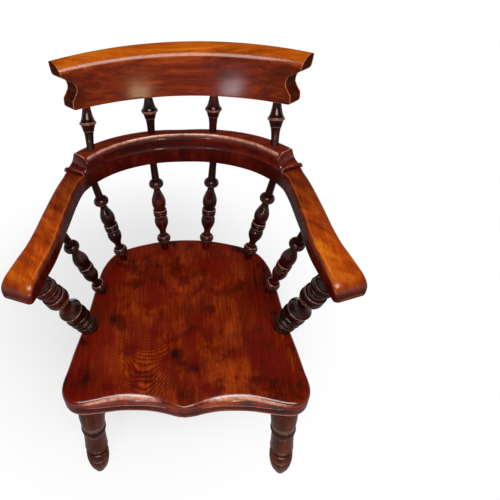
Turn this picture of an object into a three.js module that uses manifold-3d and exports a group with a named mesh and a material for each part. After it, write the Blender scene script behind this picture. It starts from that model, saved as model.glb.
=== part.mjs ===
// Captain's chair: a smoker's bow with a high comb, in polished hardwood.
// Turned legs, posts and spindles have round tenons in bored sockets of the seat, arms, crest and comb.
// Millimetres, +Z up. The sitter faces -Y. The origin is on the floor under the middle of the chair.
import * as THREE from 'three';
import { mergeVertices } from 'three/addons/utils/BufferGeometryUtils.js';
import Module from 'manifold-3d';

const wasm = await Module();
wasm.setup();

// Fits
const fitGap = 0.3; // between every two pieces that touch
const cutOverrun = 12; // how far a cutter stands out of the face that it opens
const neckLength = 5; // plain neck between a face and the first moulding

// Seat board
const seatHeight = 440; // rim above the floor
const seatThickness = 41;
const seatWidth = 486;
const seatDepth = 435;
const seatDishDepth = 10; // depth of the saddle
const seatRimWidth = 28; // border between the rounded edge and the saddle
const seatDishShare = 0.8; // of the way to the middle, where the saddle is deepest
const saddleStepShares = [0.3, 0.5, 0.75];
const seatSideRound = 7; // top edge at the sides, the back and the middle of the front
const seatFrontRound = 27; // roll of the front edge under each thigh, seen from above
const seatFrontDrop = 16; // how far this roll falls
const seatFrontReach = 70; // how far back the front roll fades out
const seatUnderRadius = 4;
const seatSocketDepth = 26;

// Half the seat's outline from the middle of the front to the middle of the back:
// share of the half width, share of the depth
const seatOutlineShares = [
  [0, 0], [0.07, 0.005], [0.16, 0.018], [0.28, 0.03], [0.41, 0.033], [0.53, 0.031], [0.64, 0.023],
  [0.74, 0.015], [0.835, 0.011], [0.893, 0.016], [0.938, 0.03], [0.971, 0.05], [0.992, 0.076],
  [1, 0.105], [0.994, 0.142], [0.979, 0.181], [0.965, 0.229], [0.946, 0.293], [0.92, 0.366],
  [0.901, 0.423], [0.868, 0.547], [0.844, 0.659], [0.815, 0.767], [0.79, 0.812], [0.753, 0.856],
  [0.691, 0.899], [0.56, 0.941], [0.379, 0.973], [0.206, 0.993], [0, 1],
];

// Legs: place of the socket under the seat (share of the half width, share of the depth) and splay
const frontLegShares = [0.868, 0.234];
const rearLegShares = [0.67, 0.8];
const frontSplayWidth = 17; // foot outside its socket
const frontSplayDepth = 50;
const rearSplayWidth = 20;
const rearSplayDepth = 80;
const legRadius = 30;
const legTenonRadius = 14;
const footRadius = 11;
const footStubLength = 8; // length below the floor line that levels the foot

// Arm bow
const armHeight = 705; // top face above the floor
const armThickness = 37;
const armHalfSpan = 283; // centre line at the front tips
const bowLength = 393; // centre line from the tips to the back, along Y
const bowBackInset = 42; // centre line of the bow behind the seat's rear edge
const armWidth = 46;
const armRoundRadius = 5; // long edges
const armCrownHeight = 1.5; // rise of the top face between its edges
const armNoseRadius = 29; // rolled front end
const armNoseCornerRadius = 11; // front corners seen from above
const noseStepShares = [0.3, 0.55, 0.75, 0.9, 1];
const noseRoundShare = 0.33; // the rolled end's long edges take at most this share of its height
const armSocketDepth = 22;

// Centre line of the right half of the bow, from the middle of the back to the tip:
// share of the half span, share of the bow's length
const bowShares = [
  [0, 0], [0.141, 0.004], [0.261, 0.017], [0.424, 0.052], [0.569, 0.104], [0.697, 0.178], [0.758, 0.234],
  [0.797, 0.308], [0.823, 0.389], [0.849, 0.506], [0.866, 0.588], [0.879, 0.667], [0.904, 0.766],
  [0.94, 0.855], [0.972, 0.939], [1, 1],
];

// Arm width on the way to the tip: share of the way, share of the arm width
const armWidthShares = [
  [0, 1], [0.39, 1], [0.48, 0.93], [0.55, 0.955], [0.64, 1.01], [0.7, 1.035], [0.755, 1.09],
  [0.83, 1.16], [0.895, 1.22], [0.955, 1.28], [1, 1.32],
];

// Pieces between the seat and the arms: place on the seat (share of the half width, share of the
// depth) and share of the way to the arm's tip
const stayShares = {
  arm_post: { seatShare: [0.83, 0.417], bowShare: 0.898 },
  side_spindle: { seatShare: [0.763, 0.634], bowShare: 0.668 },
  quarter_spindle: { seatShare: [0.605, 0.862], bowShare: 0.382 },
  centre_spindle: { seatShare: [0.202, 0.938], bowShare: 0.122 },
};

// Crest on the bow
const crestHeight = 33;
const crestSweepLength = 29; // length of a swept end
const crestEndShare = 0.458; // where it ends, on the way to the arm's tip
const crestSocketDepth = 24;

// Crest section at the middle and at the ends: share of half the arm width, share of the height
const crestMiddleShares = [
  [-1, 0], [-1, 0.3], [-0.97, 0.6], [-0.88, 0.84], [-0.7, 0.96], [-0.4, 1], [-0.05, 0.98], [0.1, 0.88],
  [0.22, 0.55], [0.5, 0.25], [0.92, 0.1], [1, 0],
];
const crestTipShares = [
  [-1, 0], [-0.95, 0.3], [-0.83, 0.6], [-0.66, 0.84], [-0.45, 0.96], [-0.1, 1], [0.5, 1], [0.86, 0.97],
  [0.97, 0.85], [1, 0.55], [1, 0.25], [1, 0],
];
const crestTopShares = [-0.22, 0.2]; // middle of its top, there and there, of half the arm width

// Fall of a swept end, a cove with a lip: share of the sweep, share of the crest's height
const crestSweepShares = [
  [0, 1], [0.1, 0.97], [0.22, 0.82], [0.36, 0.5], [0.55, 0.26], [0.76, 0.17], [0.84, 0.25], [0.96, 0.23],
  [1, 0.16],
];

// Comb rail
const combGapHeight = 79; // its lower edge above the crest
const combHeight = 89;
const combThickness = 26;
const combWidth = 503; // over the ears
const combRadius = 545;
const combLeanDepth = 32; // set-back of its top edge
const combSetbackDepth = 2; // its lower front edge behind the bow's centre line
const combFlareWidth = 22; // its back is longer than its front by this at each end
const combNotchDepth = 29; // depth of the hollow under each ear
const combRollRadius = 12; // rounded top edge at the front
const combArrisRadius = 3; // and at the back
const combSocketDepth = 24;

// End outline of the comb: share of the height, share of the notch
const combNotchShares = [
  [0, 0.76], [0.06, 0.66], [0.17, 0.66], [0.27, 0.83], [0.4, 1], [0.48, 0.97], [0.57, 0.82],
  [0.64, 0.45], [0.73, 0.14], [0.865, 0.05], [0.91, 0.03], [0.955, 0.02], [0.985, 0], [1, 0],
];

// Short spindles between the crest and the comb: share of the way to the arm's tip
const upperShares = [['inner', 0.118], ['outer', 0.361]];
const upperSpreadWidth = 2; // how far each leans outwards

// Stretchers
const stretcherHeight = 146; // on the legs, above the floor
const stretcherTenonDepth = 20;
const crossTenonDepth = 9;
const crossShares = [['front', 0.36], ['rear', 0.64]]; // places along the side stretchers

// Turned profiles: share of the length between the faces, share of the largest radius
const spindleProfileShares = [
  [0.075, 0.5], [0.09, 0.78], [0.118, 1], [0.146, 0.8], [0.165, 0.5], [0.19, 0.46], [0.24, 0.68],
  [0.3, 0.95], [0.34, 0.93], [0.375, 0.74], [0.39, 0.96], [0.405, 0.82], [0.42, 0.97], [0.435, 0.82],
  [0.45, 0.96], [0.465, 0.76], [0.51, 0.97], [0.555, 0.95], [0.62, 0.66], [0.67, 0.45], [0.695, 0.72],
  [0.73, 1], [0.765, 0.74], [0.79, 0.5],
];
const upperProfileShares = [
  [0.2, 0.5], [0.33, 0.57], [0.43, 0.8], [0.49, 0.96], [0.55, 1], [0.6, 0.98], [0.66, 0.88], [0.74, 0.64],
  [0.85, 0.5],
];
const postProfileShares = [
  [0.035, 0.64], [0.05, 0.86], [0.075, 0.9], [0.085, 0.8], [0.1, 0.92], [0.13, 0.94], [0.155, 0.86],
  [0.2, 0.98], [0.27, 0.93], [0.28, 0.99], [0.36, 1], [0.41, 0.92], [0.45, 0.68], [0.49, 0.56],
  [0.53, 0.6], [0.56, 0.78], [0.6, 0.96], [0.66, 1], [0.72, 0.9], [0.75, 0.84], [0.79, 0.92],
  [0.84, 0.93], [0.88, 0.8], [0.92, 0.57],
];
const legProfileShares = [
  [0.018, 0.53], [0.05, 0.72], [0.1, 0.84], [0.145, 0.91], [0.175, 0.88], [0.2, 0.92],
  [0.22, 0.84], [0.235, 0.64], [0.26, 0.62], [0.28, 0.84], [0.295, 0.9], [0.36, 0.88], [0.42, 0.86],
  [0.435, 0.93], [0.45, 0.88], [0.475, 0.98], [0.49, 0.92], [0.51, 0.97], [0.6, 1], [0.7, 0.98],
  [0.8, 0.84], [0.86, 0.66], [0.88, 0.74], [0.9, 0.62], [0.94, 0.5],
];
const stretcherProfileShares = [
  [0.08, 0.62], [0.3, 0.72], [0.33, 0.9], [0.38, 0.9], [0.42, 0.84], [0.5, 1], [0.58, 0.84], [0.62, 0.9],
  [0.67, 0.9], [0.7, 0.72], [0.92, 0.62],
];
const crossProfileShares = [
  [0.1, 0.66], [0.38, 0.8], [0.42, 0.94], [0.5, 1], [0.58, 0.94], [0.62, 0.8], [0.9, 0.66],
];

// Kinds of turned piece: profile, largest radius, tenon radius and number of flats
const spindleRadius = 16.5;
const spindleTenonRadius = 7.7;
const upperRadius = 17.5;
const upperTenonRadius = 7.8;
const postRadius = 24;
const postTenonRadius = 13;
const stretcherRadius = 16;
const stretcherTenonRadius = 9;
const crossRadius = 12.5;
const crossTenonRadius = 7.5;
const stoutSides = 12;
const slimSides = 10;
const turning = (shares, radius, tenon, sides) => ({ shares, radius, tenon, sides });
const spindle = turning(spindleProfileShares, spindleRadius, spindleTenonRadius, slimSides);
const upperSpindle = turning(upperProfileShares, upperRadius, upperTenonRadius, slimSides);
const armPost = turning(postProfileShares, postRadius, postTenonRadius, stoutSides);
const leg = turning(legProfileShares, legRadius, legTenonRadius, stoutSides);
const stretcher = turning(stretcherProfileShares, stretcherRadius, stretcherTenonRadius, slimSides);
const crossStretcher = turning(crossProfileShares, crossRadius, crossTenonRadius, slimSides);

// Screws up through the bow into the crest
const screwHeadRadius = 5;
const screwHeadHeight = 3.5;
const screwShankRadius = 2.4;
const screwPointLength = 4;
const screwLength = 52;
const screwSinkDepth = 2; // head below the arm's underside
const screwSides = 8;
const screwShares = [['middle', 0.05], ['end', 0.27]]; // on the way to the arm's tip

// Steps of the swept shapes
const seatSteps = 32; // along half the outline
const armSteps = 22;
const crestSteps = 9; // along half the crest, without its swept end
const combSteps = 16;

const polish = (color, roughness) => new THREE.MeshStandardMaterial({ color, roughness, metalness: 0 });
const seatWood = polish(0x5a1c0c, 0.32);
const turnedWood = polish(0x3c140c, 0.3);
const armWood = polish(0x8a4412, 0.3);
const crestWood = polish(0x54170b, 0.28);
const combWood = polish(0x6a2410, 0.28);
const screwSteel = new THREE.MeshStandardMaterial({ color: 0x6d6a66, roughness: 0.5, metalness: 0.9 });

const sides = { left: -1, right: 1 };
const armUnder = armHeight - armThickness;
const crestTop = armHeight + crestHeight;
const combBottom = crestTop + combGapHeight;
const bowBack = seatDepth + bowBackInset;
const mix = THREE.MathUtils.lerp;
const fade = (from, to, value) => THREE.MathUtils.smoothstep(value, from, to);
const sag = (radius, into) => radius - Math.sqrt(radius ** 2 - Math.max(0, into) ** 2);

// Reads a table of [place, value] rows at a place between its rows.
function read(table, place) {
  let row = 1;
  while (row < table.length - 1 && table[row][0] < place) {
    row += 1;
  }
  const [from, low] = table[row - 1];
  const [to, high] = table[row];
  return mix(low, high, THREE.MathUtils.clamp((place - from) / (to - from), 0, 1));
}

// Turns the faces round where they point inwards.
function outward(geometry) {
  const points = geometry.attributes.position;
  const index = geometry.index.array;
  const corner = (at) => new THREE.Vector3().fromBufferAttribute(points, index[at]);
  let volume = 0;
  for (let at = 0; at < index.length; at += 3) {
    volume += corner(at).dot(corner(at + 1).cross(corner(at + 2)));
  }
  if (volume < 0) {
    const flipped = [];
    for (let at = 0; at < index.length; at += 3) {
      flipped.push(index[at], index[at + 2], index[at + 1]);
    }
    geometry.setIndex(flipped);
  }
  return geometry;
}

// Keeps only positions, joins equal vertices and drops triangles without area.
function closed(geometry) {
  geometry.deleteAttribute('normal');
  geometry.deleteAttribute('uv');
  const merged = mergeVertices(geometry);
  const index = [];
  for (let at = 0; at < merged.index.count; at += 3) {
    const corners = [merged.index.getX(at), merged.index.getX(at + 1), merged.index.getX(at + 2)];
    if (new Set(corners).size === corners.length) {
      index.push(...corners);
    }
  }
  merged.setIndex(index);
  return outward(merged);
}

// Triangles between neighbouring rings of equal length
function skin(levels, count) {
  const index = [];
  for (let level = 0; level + 1 < levels; level += 1) {
    for (let side = 0; side < count; side += 1) {
      const next = (side + 1) % count;
      const [a, b, c, d] = [side, next, next + count, side + count].map((at) => at + level * count);
      index.push(a, b, c, a, c, d);
    }
  }
  return index;
}

function meshOf(points, index) {
  const geometry = new THREE.BufferGeometry().setFromPoints(points);
  geometry.setIndex(index);
  return outward(geometry);
}

// Closes a ring, whose two halves mirror each other, with a strip from half to half.
function cap(count, first, turnedOver) {
  const index = [];
  for (let at = 0; at < Math.floor((count - 1) / 2); at += 1) {
    const [a, b, c, d] = [at, at + 1, count - 2 - at, count - 1 - at].map((place) => place + first);
    const strip = b === c ? [a, c, d] : [a, b, c, a, c, d];
    index.push(...(turnedOver ? strip.reverse() : strip));
  }
  return index;
}

// Joins rings into a body with closed ends.
function loft(rings) {
  const count = rings[0].length;
  const last = (rings.length - 1) * count;
  const ends = [...cap(count, 0, true), ...cap(count, last, false)];
  return meshOf(rings.flat(), [...skin(rings.length, count), ...ends]);
}

function toSolid(geometry) {
  const mesh = closed(geometry.clone());
  return new wasm.Manifold(new wasm.Mesh({
    numProp: 3,
    vertProperties: new Float32Array(mesh.attributes.position.array),
    triVerts: new Uint32Array(mesh.index.array),
  }));
}

function cut(geometry, cutters) {
  const solid = cutters.reduce((rest, cutter) => rest.subtract(toSolid(cutter)), toSolid(geometry));
  const mesh = solid.getMesh();
  const result = new THREE.BufferGeometry();
  result.setAttribute('position', new THREE.BufferAttribute(mesh.vertProperties, 3));
  result.setIndex(new THREE.BufferAttribute(mesh.triVerts, 1));
  return result;
}

// Rotation that lays +Z along the way from one point to another
function along(from, to) {
  const way = to.clone().sub(from).normalize();
  return new THREE.Quaternion().setFromUnitVectors(new THREE.Vector3(0, 0, 1), way);
}

function named(name, geometry, material) {
  const mesh = new THREE.Mesh(geometry, material);
  mesh.name = name;
  return mesh;
}

// A turned piece: its kind, the two faces that it runs between, and its tenons behind them
const piece = (kind, from, to, depths) => ({ kind, from, to, depths });

function turnedMesh(name, { kind, from, to, depths }) {
  const length = from.distanceTo(to);
  const body = kind.shares.map(([place, size]) => [place * length, size * kind.radius]);
  const foot = depths[0] === 0
    ? [[-footStubLength, 0], [-footStubLength, footRadius], [0, footRadius]]
    : [[-depths[0], 0], [-depths[0], kind.tenon], [neckLength, kind.tenon]];
  const head = [[length - neckLength, kind.tenon], [length + depths[1], kind.tenon], [length + depths[1], 0]];
  const profile = [...foot, ...body, ...head].map(([place, size]) => new THREE.Vector2(size, place));
  const shape = closed(new THREE.LatheGeometry(profile, kind.sides).rotateX(Math.PI / 2));
  const mesh = named(name, shape, turnedWood);
  mesh.position.copy(from);
  mesh.quaternion.copy(along(from, to));
  return mesh;
}

// Cutter for the socket of a piece's lower (0) or upper (1) tenon, with its flats along the tenon's
function socket({ kind, from, to, depths }, end) {
  const [face, other] = end === 0 ? [from, to] : [to, from];
  const inward = face.clone().sub(other).normalize();
  const depth = depths[end] + fitGap;
  const radius = kind.tenon + fitGap / Math.cos(Math.PI / kind.sides);
  const middle = face.clone().addScaledVector(inward, (depth - cutOverrun) / 2);
  return new THREE.CylinderGeometry(radius, radius, depth + cutOverrun, kind.sides)
    .rotateX(Math.PI / 2)
    .applyQuaternion(along(from, to))
    .translate(middle.x, middle.y, middle.z);
}

// Cuts a placed mesh with cutters that are given in the chair's frame.
function cutInPlace(mesh, cutters) {
  mesh.updateMatrix();
  const inverse = mesh.matrix.clone().invert();
  mesh.geometry = cut(mesh.geometry, cutters.map((cutter) => cutter.clone().applyMatrix4(inverse)));
  return mesh;
}

// Bow centre line, which the arms, the crest and all that meets them share
const bow = new THREE.CatmullRomCurve3(
  bowShares.map(([x, y]) => new THREE.Vector3(x * armHalfSpan, bowBack - y * bowLength, 0)),
  false,
  'centripetal',
);
const bowReach = bow.getLength();

// Point at a share of the way to an arm's tip, moved to the outside of the bow
function bowPoint(share, outside, height, side) {
  const point = bow.getPointAt(share);
  const way = share === 0 ? new THREE.Vector3(1, 0, 0) : bow.getTangentAt(share);
  point.addScaledVector(new THREE.Vector3(-way.y, way.x, 0), outside);
  return new THREE.Vector3(side * point.x, point.y, height);
}

function seatPlace([x, y], side, height) {
  return new THREE.Vector3(side * x * seatWidth / 2, y * seatDepth, height);
}

function stay(name, side) {
  const { seatShare, bowShare } = stayShares[name];
  const kind = name === 'arm_post' ? armPost : spindle;
  const from = seatPlace(seatShare, side, seatHeight);
  return piece(kind, from, bowPoint(bowShare, 0, armUnder, side), [seatSocketDepth, armSocketDepth]);
}

function legPiece(place, side) {
  const isFront = place === 'front';
  const top = seatPlace(isFront ? frontLegShares : rearLegShares, side, seatHeight - seatThickness);
  const out = isFront ? frontSplayWidth : rearSplayWidth;
  const back = isFront ? -frontSplayDepth : rearSplayDepth;
  const foot = new THREE.Vector3(top.x + side * out, top.y + back, 0);
  return piece(leg, foot, top, [0, seatSocketDepth]);
}

// A side stretcher runs between its two legs, from surface to surface.
function sideStretcher(side) {
  const [front, rear] = ['front', 'rear'].map((place) => {
    const { from, to } = legPiece(place, side);
    return from.clone().lerp(to, stretcherHeight / to.z);
  });
  const way = rear.clone().sub(front).normalize();
  const surface = legRadius * read(legProfileShares, stretcherHeight / (seatHeight - seatThickness));
  front.addScaledVector(way, surface);
  rear.addScaledVector(way, -surface);
  return piece(stretcher, front, rear, [stretcherTenonDepth, stretcherTenonDepth]);
}

function crossPiece(share) {
  const surface = stretcherRadius * read(stretcherProfileShares, share);
  const [left, right] = Object.values(sides).map((side) => {
    const { from, to } = sideStretcher(side);
    return from.clone().lerp(to, share).add(new THREE.Vector3(-side * surface, 0, 0));
  });
  return piece(crossStretcher, left, right, [crossTenonDepth, crossTenonDepth]);
}

function seatGeometry() {
  const half = new THREE.SplineCurve(
    seatOutlineShares.map(([x, y]) => new THREE.Vector2(x * seatWidth / 2, y * seatDepth)),
  );
  const right = half.getSpacedPoints(seatSteps);
  const left = right.slice(1, -1).reverse().map((point) => new THREE.Vector2(-point.x, point.y));
  const outline = [...right, ...left];
  const centre = new THREE.Vector2(0, seatDepth / 2);
  const under = seatHeight - seatThickness;
  const round = (thigh) => mix(seatSideRound, seatFrontRound, thigh);
  const drop = (thigh) => mix(seatSideRound, seatFrontDrop, thigh);

  // One ring round the board. Inset and height follow how far a point lies in a thigh's roll.
  const ring = (inset, height) => outline.map((point) => {
    const across = Math.sin(Math.PI * Math.abs(point.x) / (seatWidth / 2));
    const thigh = across * (1 - fade(0, seatFrontReach, point.y));
    const inward = centre.clone().sub(point);
    const reach = inward.length();
    const place = point.clone().addScaledVector(inward, inset(thigh, reach) / reach);
    return new THREE.Vector3(place.x, place.y, height(thigh));
  });
  const edge = (turn) => ring(
    (thigh) => round(thigh) * (1 - Math.cos(turn)),
    (thigh) => seatHeight - drop(thigh) * (1 - Math.sin(turn)),
  );
  const saddle = (share) => ring(
    (thigh, reach) => mix(round(thigh), reach, share),
    () => seatHeight - seatDishDepth * fade(0, seatDishShare, share),
  );
  const rimShare = seatRimWidth / (seatDepth / 2);
  const rings = [
    ring(() => seatUnderRadius, () => under),
    ring(() => 0, () => under + seatUnderRadius),
    ...[0, Math.PI / 6, Math.PI / 3, Math.PI / 2].map(edge),
    ...[rimShare, ...saddleStepShares].map(saddle),
  ];
  const count = outline.length;
  const index = skin(rings.length, count);
  const last = (rings.length - 1) * count;
  const underCentre = rings.length * count;
  for (let side = 0; side < count; side += 1) {
    const next = (side + 1) % count;
    index.push(underCentre, next, side, underCentre + 1, last + side, last + next);
  }
  const middle = (height) => new THREE.Vector3(centre.x, centre.y, height);
  return meshOf([...rings.flat(), middle(under), middle(seatHeight - seatDishDepth)], index);
}

// Half of the arm bow, from the butt joint at the back to the rolled front end
function armGeometry(side) {
  const section = (width, top, bottom, round) => [
    [-width / 2 + round, bottom], [-width / 2, bottom + round], [-width / 2, top - round],
    [-width / 2 + round, top], [0, top + armCrownHeight], [width / 2 - round, top], [width / 2, top - round],
    [width / 2, bottom + round], [width / 2 - round, bottom],
  ];
  const noseStart = 1 - armNoseRadius / bowReach;
  const straight = Array.from({ length: armSteps + 1 }, (_, step) => noseStart * step / armSteps);
  const nose = noseStepShares.map((share) => mix(noseStart, 1, share));
  const rings = [...straight, ...nose].map((share) => {
    const toTip = (1 - share) * bowReach;
    const drop = sag(armNoseRadius, armNoseRadius - toTip);
    const narrow = sag(armNoseCornerRadius, armNoseCornerRadius - toTip);
    const width = armWidth * read(armWidthShares, share) - 2 * narrow;
    const bottom = armUnder + narrow / 2;
    const top = armHeight - drop;
    const round = Math.min(armRoundRadius, (top - bottom) * noseRoundShare);
    const butt = new THREE.Vector3(share === 0 ? side * fitGap / 2 : 0, 0, 0);
    return section(width, top, bottom, round)
      .map(([outside, height]) => bowPoint(share, outside, height, side).add(butt));
  });
  return loft(rings);
}

// Crest section at a share of the way: offset to the outside and share of the height
function crestSection(share) {
  const blend = share / crestEndShare;
  return crestMiddleShares.map(([x, y], row) => [
    mix(x, crestTipShares[row][0], blend) * armWidth / 2,
    mix(y, crestTipShares[row][1], blend),
  ]);
}

function crestGeometry() {
  const sweepStart = crestEndShare - crestSweepLength / bowReach;
  const even = Array.from({ length: crestSteps }, (_, step) => [sweepStart * step / crestSteps, 1]);
  const sweep = crestSweepShares.map(([place, high]) => [mix(sweepStart, crestEndShare, place), high]);
  const half = [...even, ...sweep];
  const base = armHeight + armCrownHeight + fitGap;
  const ring = ([share, high], side) => crestSection(share).map(([outside, rise]) => (
    bowPoint(share, outside, base + rise * high * (crestTop - base), side)
  ));
  const left = half.slice(1).reverse().map((place) => ring(place, sides.left));
  return loft([...left, ...half.map((place) => ring(place, sides.right))]);
}

// Front face of the comb, at a place across it and a share of its height
function combFront(x, share) {
  const middle = bowBack + combSetbackDepth + combLeanDepth * share;
  return middle - combRadius + Math.sqrt(combRadius ** 2 - x ** 2);
}

function combGeometry() {
  const rounded = (radius, share) => sag(radius, radius - (1 - share) * combHeight) / combThickness;
  const rows = combNotchShares.map(([share]) => share);
  const section = [
    ...rows.map((share) => [share, rounded(combRollRadius, share)]),
    ...rows.toReversed().map((share) => [share, 1 - rounded(combArrisRadius, share)]),
  ];
  const rings = Array.from({ length: combSteps + 1 }, (_, step) => section.map(([share, deep]) => {
    const inset = combFlareWidth * (1 - deep) + combNotchDepth * read(combNotchShares, share);
    const x = (2 * step / combSteps - 1) * (combWidth / 2 - inset);
    return new THREE.Vector3(x, combFront(x, share) + deep * combThickness, combBottom + share * combHeight);
  }));
  return loft(rings);
}

// A short spindle from the top of the crest to the underside of the comb
function upperPiece(share, side) {
  const topShare = mix(...crestTopShares, share / crestEndShare);
  const base = bowPoint(share, topShare * armWidth / 2, crestTop, side);
  const x = base.x + side * upperSpreadWidth;
  const top = new THREE.Vector3(x, combFront(x, 0) + combThickness / 2, combBottom);
  return piece(upperSpindle, base, top, [crestSocketDepth, combSocketDepth]);
}

// Profile of a screw, or of its hole when it is widened by a gap
function screwAt(share, side, gap) {
  const place = bowPoint(share, 0, armUnder + screwSinkDepth, side);
  const headFoot = gap > 0 ? -cutOverrun : 0;
  const profile = [
    [0, headFoot], [screwHeadRadius + gap, headFoot], [screwHeadRadius + gap, 0],
    [screwShankRadius + gap, screwHeadHeight], [screwShankRadius + gap, screwLength - screwPointLength],
    [0, screwLength + gap],
  ].map(([size, height]) => new THREE.Vector2(size, height));
  return closed(new THREE.LatheGeometry(profile, screwSides).rotateX(Math.PI / 2))
    .translate(place.x, place.y, place.z);
}

function bothSides(list, make) {
  return Object.values(sides).flatMap((side) => list.map((item) => make(item, side)));
}


const stayNames = Object.keys(stayShares);
const chair = new THREE.Group();

const seatCutters = [
  ...bothSides(stayNames, (name, side) => socket(stay(name, side), 0)),
  ...bothSides(['front', 'rear'], (place, side) => socket(legPiece(place, side), 1)),
];
chair.add(named('seat', cut(seatGeometry(), seatCutters), seatWood));

for (const [word, side] of Object.entries(sides)) {
  ['front', 'rear'].forEach((place, end) => {
    const support = legPiece(place, side);
    const mesh = turnedMesh(`leg_${place}_${word}`, support);
    const floor = new THREE.BoxGeometry(4 * legRadius, 4 * legRadius, 2 * legRadius)
      .translate(support.from.x, support.from.y, -legRadius);
    chair.add(cutInPlace(mesh, [socket(sideStretcher(side), end), floor]));
  });
  const end = side === sides.left ? 0 : 1;
  const bores = crossShares.map(([, share]) => socket(crossPiece(share), end));
  chair.add(cutInPlace(turnedMesh(`side_stretcher_${word}`, sideStretcher(side)), bores));
}
for (const [place, share] of crossShares) {
  chair.add(turnedMesh(`cross_stretcher_${place}`, crossPiece(share)));
}

for (const [word, side] of Object.entries(sides)) {
  for (const name of stayNames) {
    chair.add(turnedMesh(`${name}_${word}`, stay(name, side)));
  }
  const cutters = [
    ...stayNames.map((name) => socket(stay(name, side), 1)),
    ...screwShares.map(([, share]) => screwAt(share, side, fitGap)),
  ];
  chair.add(named(`arm_${word}`, cut(armGeometry(side), cutters), armWood));
}

const crestCutters = [
  ...bothSides(upperShares, ([, share], side) => socket(upperPiece(share, side), 0)),
  ...bothSides(screwShares, ([, share], side) => screwAt(share, side, fitGap)),
];
chair.add(named('crest', cut(crestGeometry(), crestCutters), crestWood));

for (const [word, side] of Object.entries(sides)) {
  for (const [place, share] of screwShares) {
    chair.add(named(`crest_screw_${place}_${word}`, screwAt(share, side, 0), screwSteel));
  }
  for (const [place, share] of upperShares) {
    chair.add(turnedMesh(`upper_spindle_${place}_${word}`, upperPiece(share, side)));
  }
}
const combCutters = bothSides(upperShares, ([, share], side) => socket(upperPiece(share, side), 1));
chair.add(named('comb_rail', cut(combGeometry(), combCutters), combWood));

// The floor point under the middle of the whole chair is the origin.
const box = new THREE.Box3().setFromObject(chair, true);
chair.position.set(-(box.min.x + box.max.x) / 2, -(box.min.y + box.max.y) / 2, -box.min.z);

export default chair;
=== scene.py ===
"""Captains chair in polished hardwood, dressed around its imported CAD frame.

The chair is a smoker's bow with a high comb. Sizes are millimetres in the chair's own
frame, whose Y starts at the seat's front point and runs back. Meshes are made in metres.
"""

import logging
import math
from contextlib import contextmanager
from dataclasses import dataclass, field
from enum import Enum
from typing import Any, Iterator, Mapping, Sequence

import bmesh
import bpy
import numpy as np
from mathutils import Matrix, Vector


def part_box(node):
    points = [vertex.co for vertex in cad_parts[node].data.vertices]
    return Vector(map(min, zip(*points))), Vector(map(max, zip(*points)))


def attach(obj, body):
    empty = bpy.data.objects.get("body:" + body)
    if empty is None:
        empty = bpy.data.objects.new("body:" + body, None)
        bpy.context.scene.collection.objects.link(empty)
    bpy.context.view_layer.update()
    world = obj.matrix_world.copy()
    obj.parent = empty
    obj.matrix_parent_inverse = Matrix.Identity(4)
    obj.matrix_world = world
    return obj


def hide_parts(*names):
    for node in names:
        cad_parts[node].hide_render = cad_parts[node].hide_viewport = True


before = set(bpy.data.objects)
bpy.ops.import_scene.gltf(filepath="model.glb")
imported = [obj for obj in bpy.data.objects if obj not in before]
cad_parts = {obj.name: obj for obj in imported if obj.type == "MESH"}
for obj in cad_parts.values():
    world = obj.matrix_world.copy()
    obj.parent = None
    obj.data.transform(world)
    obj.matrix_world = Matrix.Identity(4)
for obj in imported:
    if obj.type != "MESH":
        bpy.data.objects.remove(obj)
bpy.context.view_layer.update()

log = logging.getLogger("chair")

MM = 0.001
BODY = "root"
SIDES = {"left": -1, "right": 1}
CREASE = 35.0
HALF = 0.5

Rgb = tuple[int, int, int]
Table = tuple[tuple[float, ...], ...]
Faces = list[tuple[int, ...]]


# Curves

def linear(colour: Rgb) -> tuple[float, float, float, float]:
    """Turns a colour of 0 to 255 per channel into Blender's linear values.

    Args:
        colour: red, green and blue as a picture stores them.

    Returns:
        The linear red, green, blue and an alpha of one.
    """
    shares = (value / 255 for value in colour)
    return (*(s / 12.92 if s <= 0.04045 else ((s + 0.055) / 1.055) ** 2.4 for s in shares), 1.0)


def mix(low: Any, high: Any, share: Any) -> Any:
    """Value at a share of the way from low to high."""
    return low + (high - low) * share


def fade(start: float, end: float, value: Any) -> Any:
    """Smooth step from 0 at start to 1 at end."""
    share = np.clip((value - start) / (end - start), 0, 1)
    return share * share * (3 - 2 * share)


def hermite(part: Any) -> tuple[Any, Any, Any, Any]:
    """Weighs the ends of a cubic piece of a curve.

    Args:
        part: how far along the piece a point lies, from 0 to 1.

    Returns:
        The weights of the start, of the slope there, of the end, and of the slope there.
    """
    left = (1 - part) ** 2
    done = part * part
    return (1 + 2 * part) * left, part * left, done * (3 - 2 * part), done * (part - 1)


def eased(rows: Sequence[Sequence[float]], places: Any) -> np.ndarray:
    """Reads a smooth line without overshoot through rows of place and value.

    Args:
        rows: places in rising order, each with its value.
        places: where the line is read.

    Returns:
        The values of the line at the places.
    """
    x, y = np.array(rows, float).T
    gap = np.diff(x)
    slope = np.diff(y) / gap
    before, after = slope[:-1], slope[1:]
    near, far = 2 * gap[1:] + gap[:-1], gap[1:] + 2 * gap[:-1]
    rising = before * after > 0
    safe_before, safe_after = np.where(rising, before, 1), np.where(rising, after, 1)
    inner = np.where(rising, (near + far) / (near / safe_before + far / safe_after), 0)
    tangent = np.concatenate([slope[:1], inner, slope[-1:]])
    places = np.asarray(places, float)
    at = np.clip(np.searchsorted(x, places, side="right") - 1, 0, len(gap) - 1)
    part = np.clip((places - x[at]) / gap[at], 0, 1)
    leave, reach, end, bend = hermite(part)
    low = leave * y[at] + reach * gap[at] * tangent[at]
    return low + end * y[at + 1] + bend * gap[at] * tangent[at + 1]


def plateau(edges: Sequence[float], value: Any) -> Any:
    """Smooth rise from 0 to 1 between the first two edges, and fall between the last two."""
    rise, top, bend, end = edges
    return fade(rise, top, value) * (1 - fade(bend, end, value))


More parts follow.
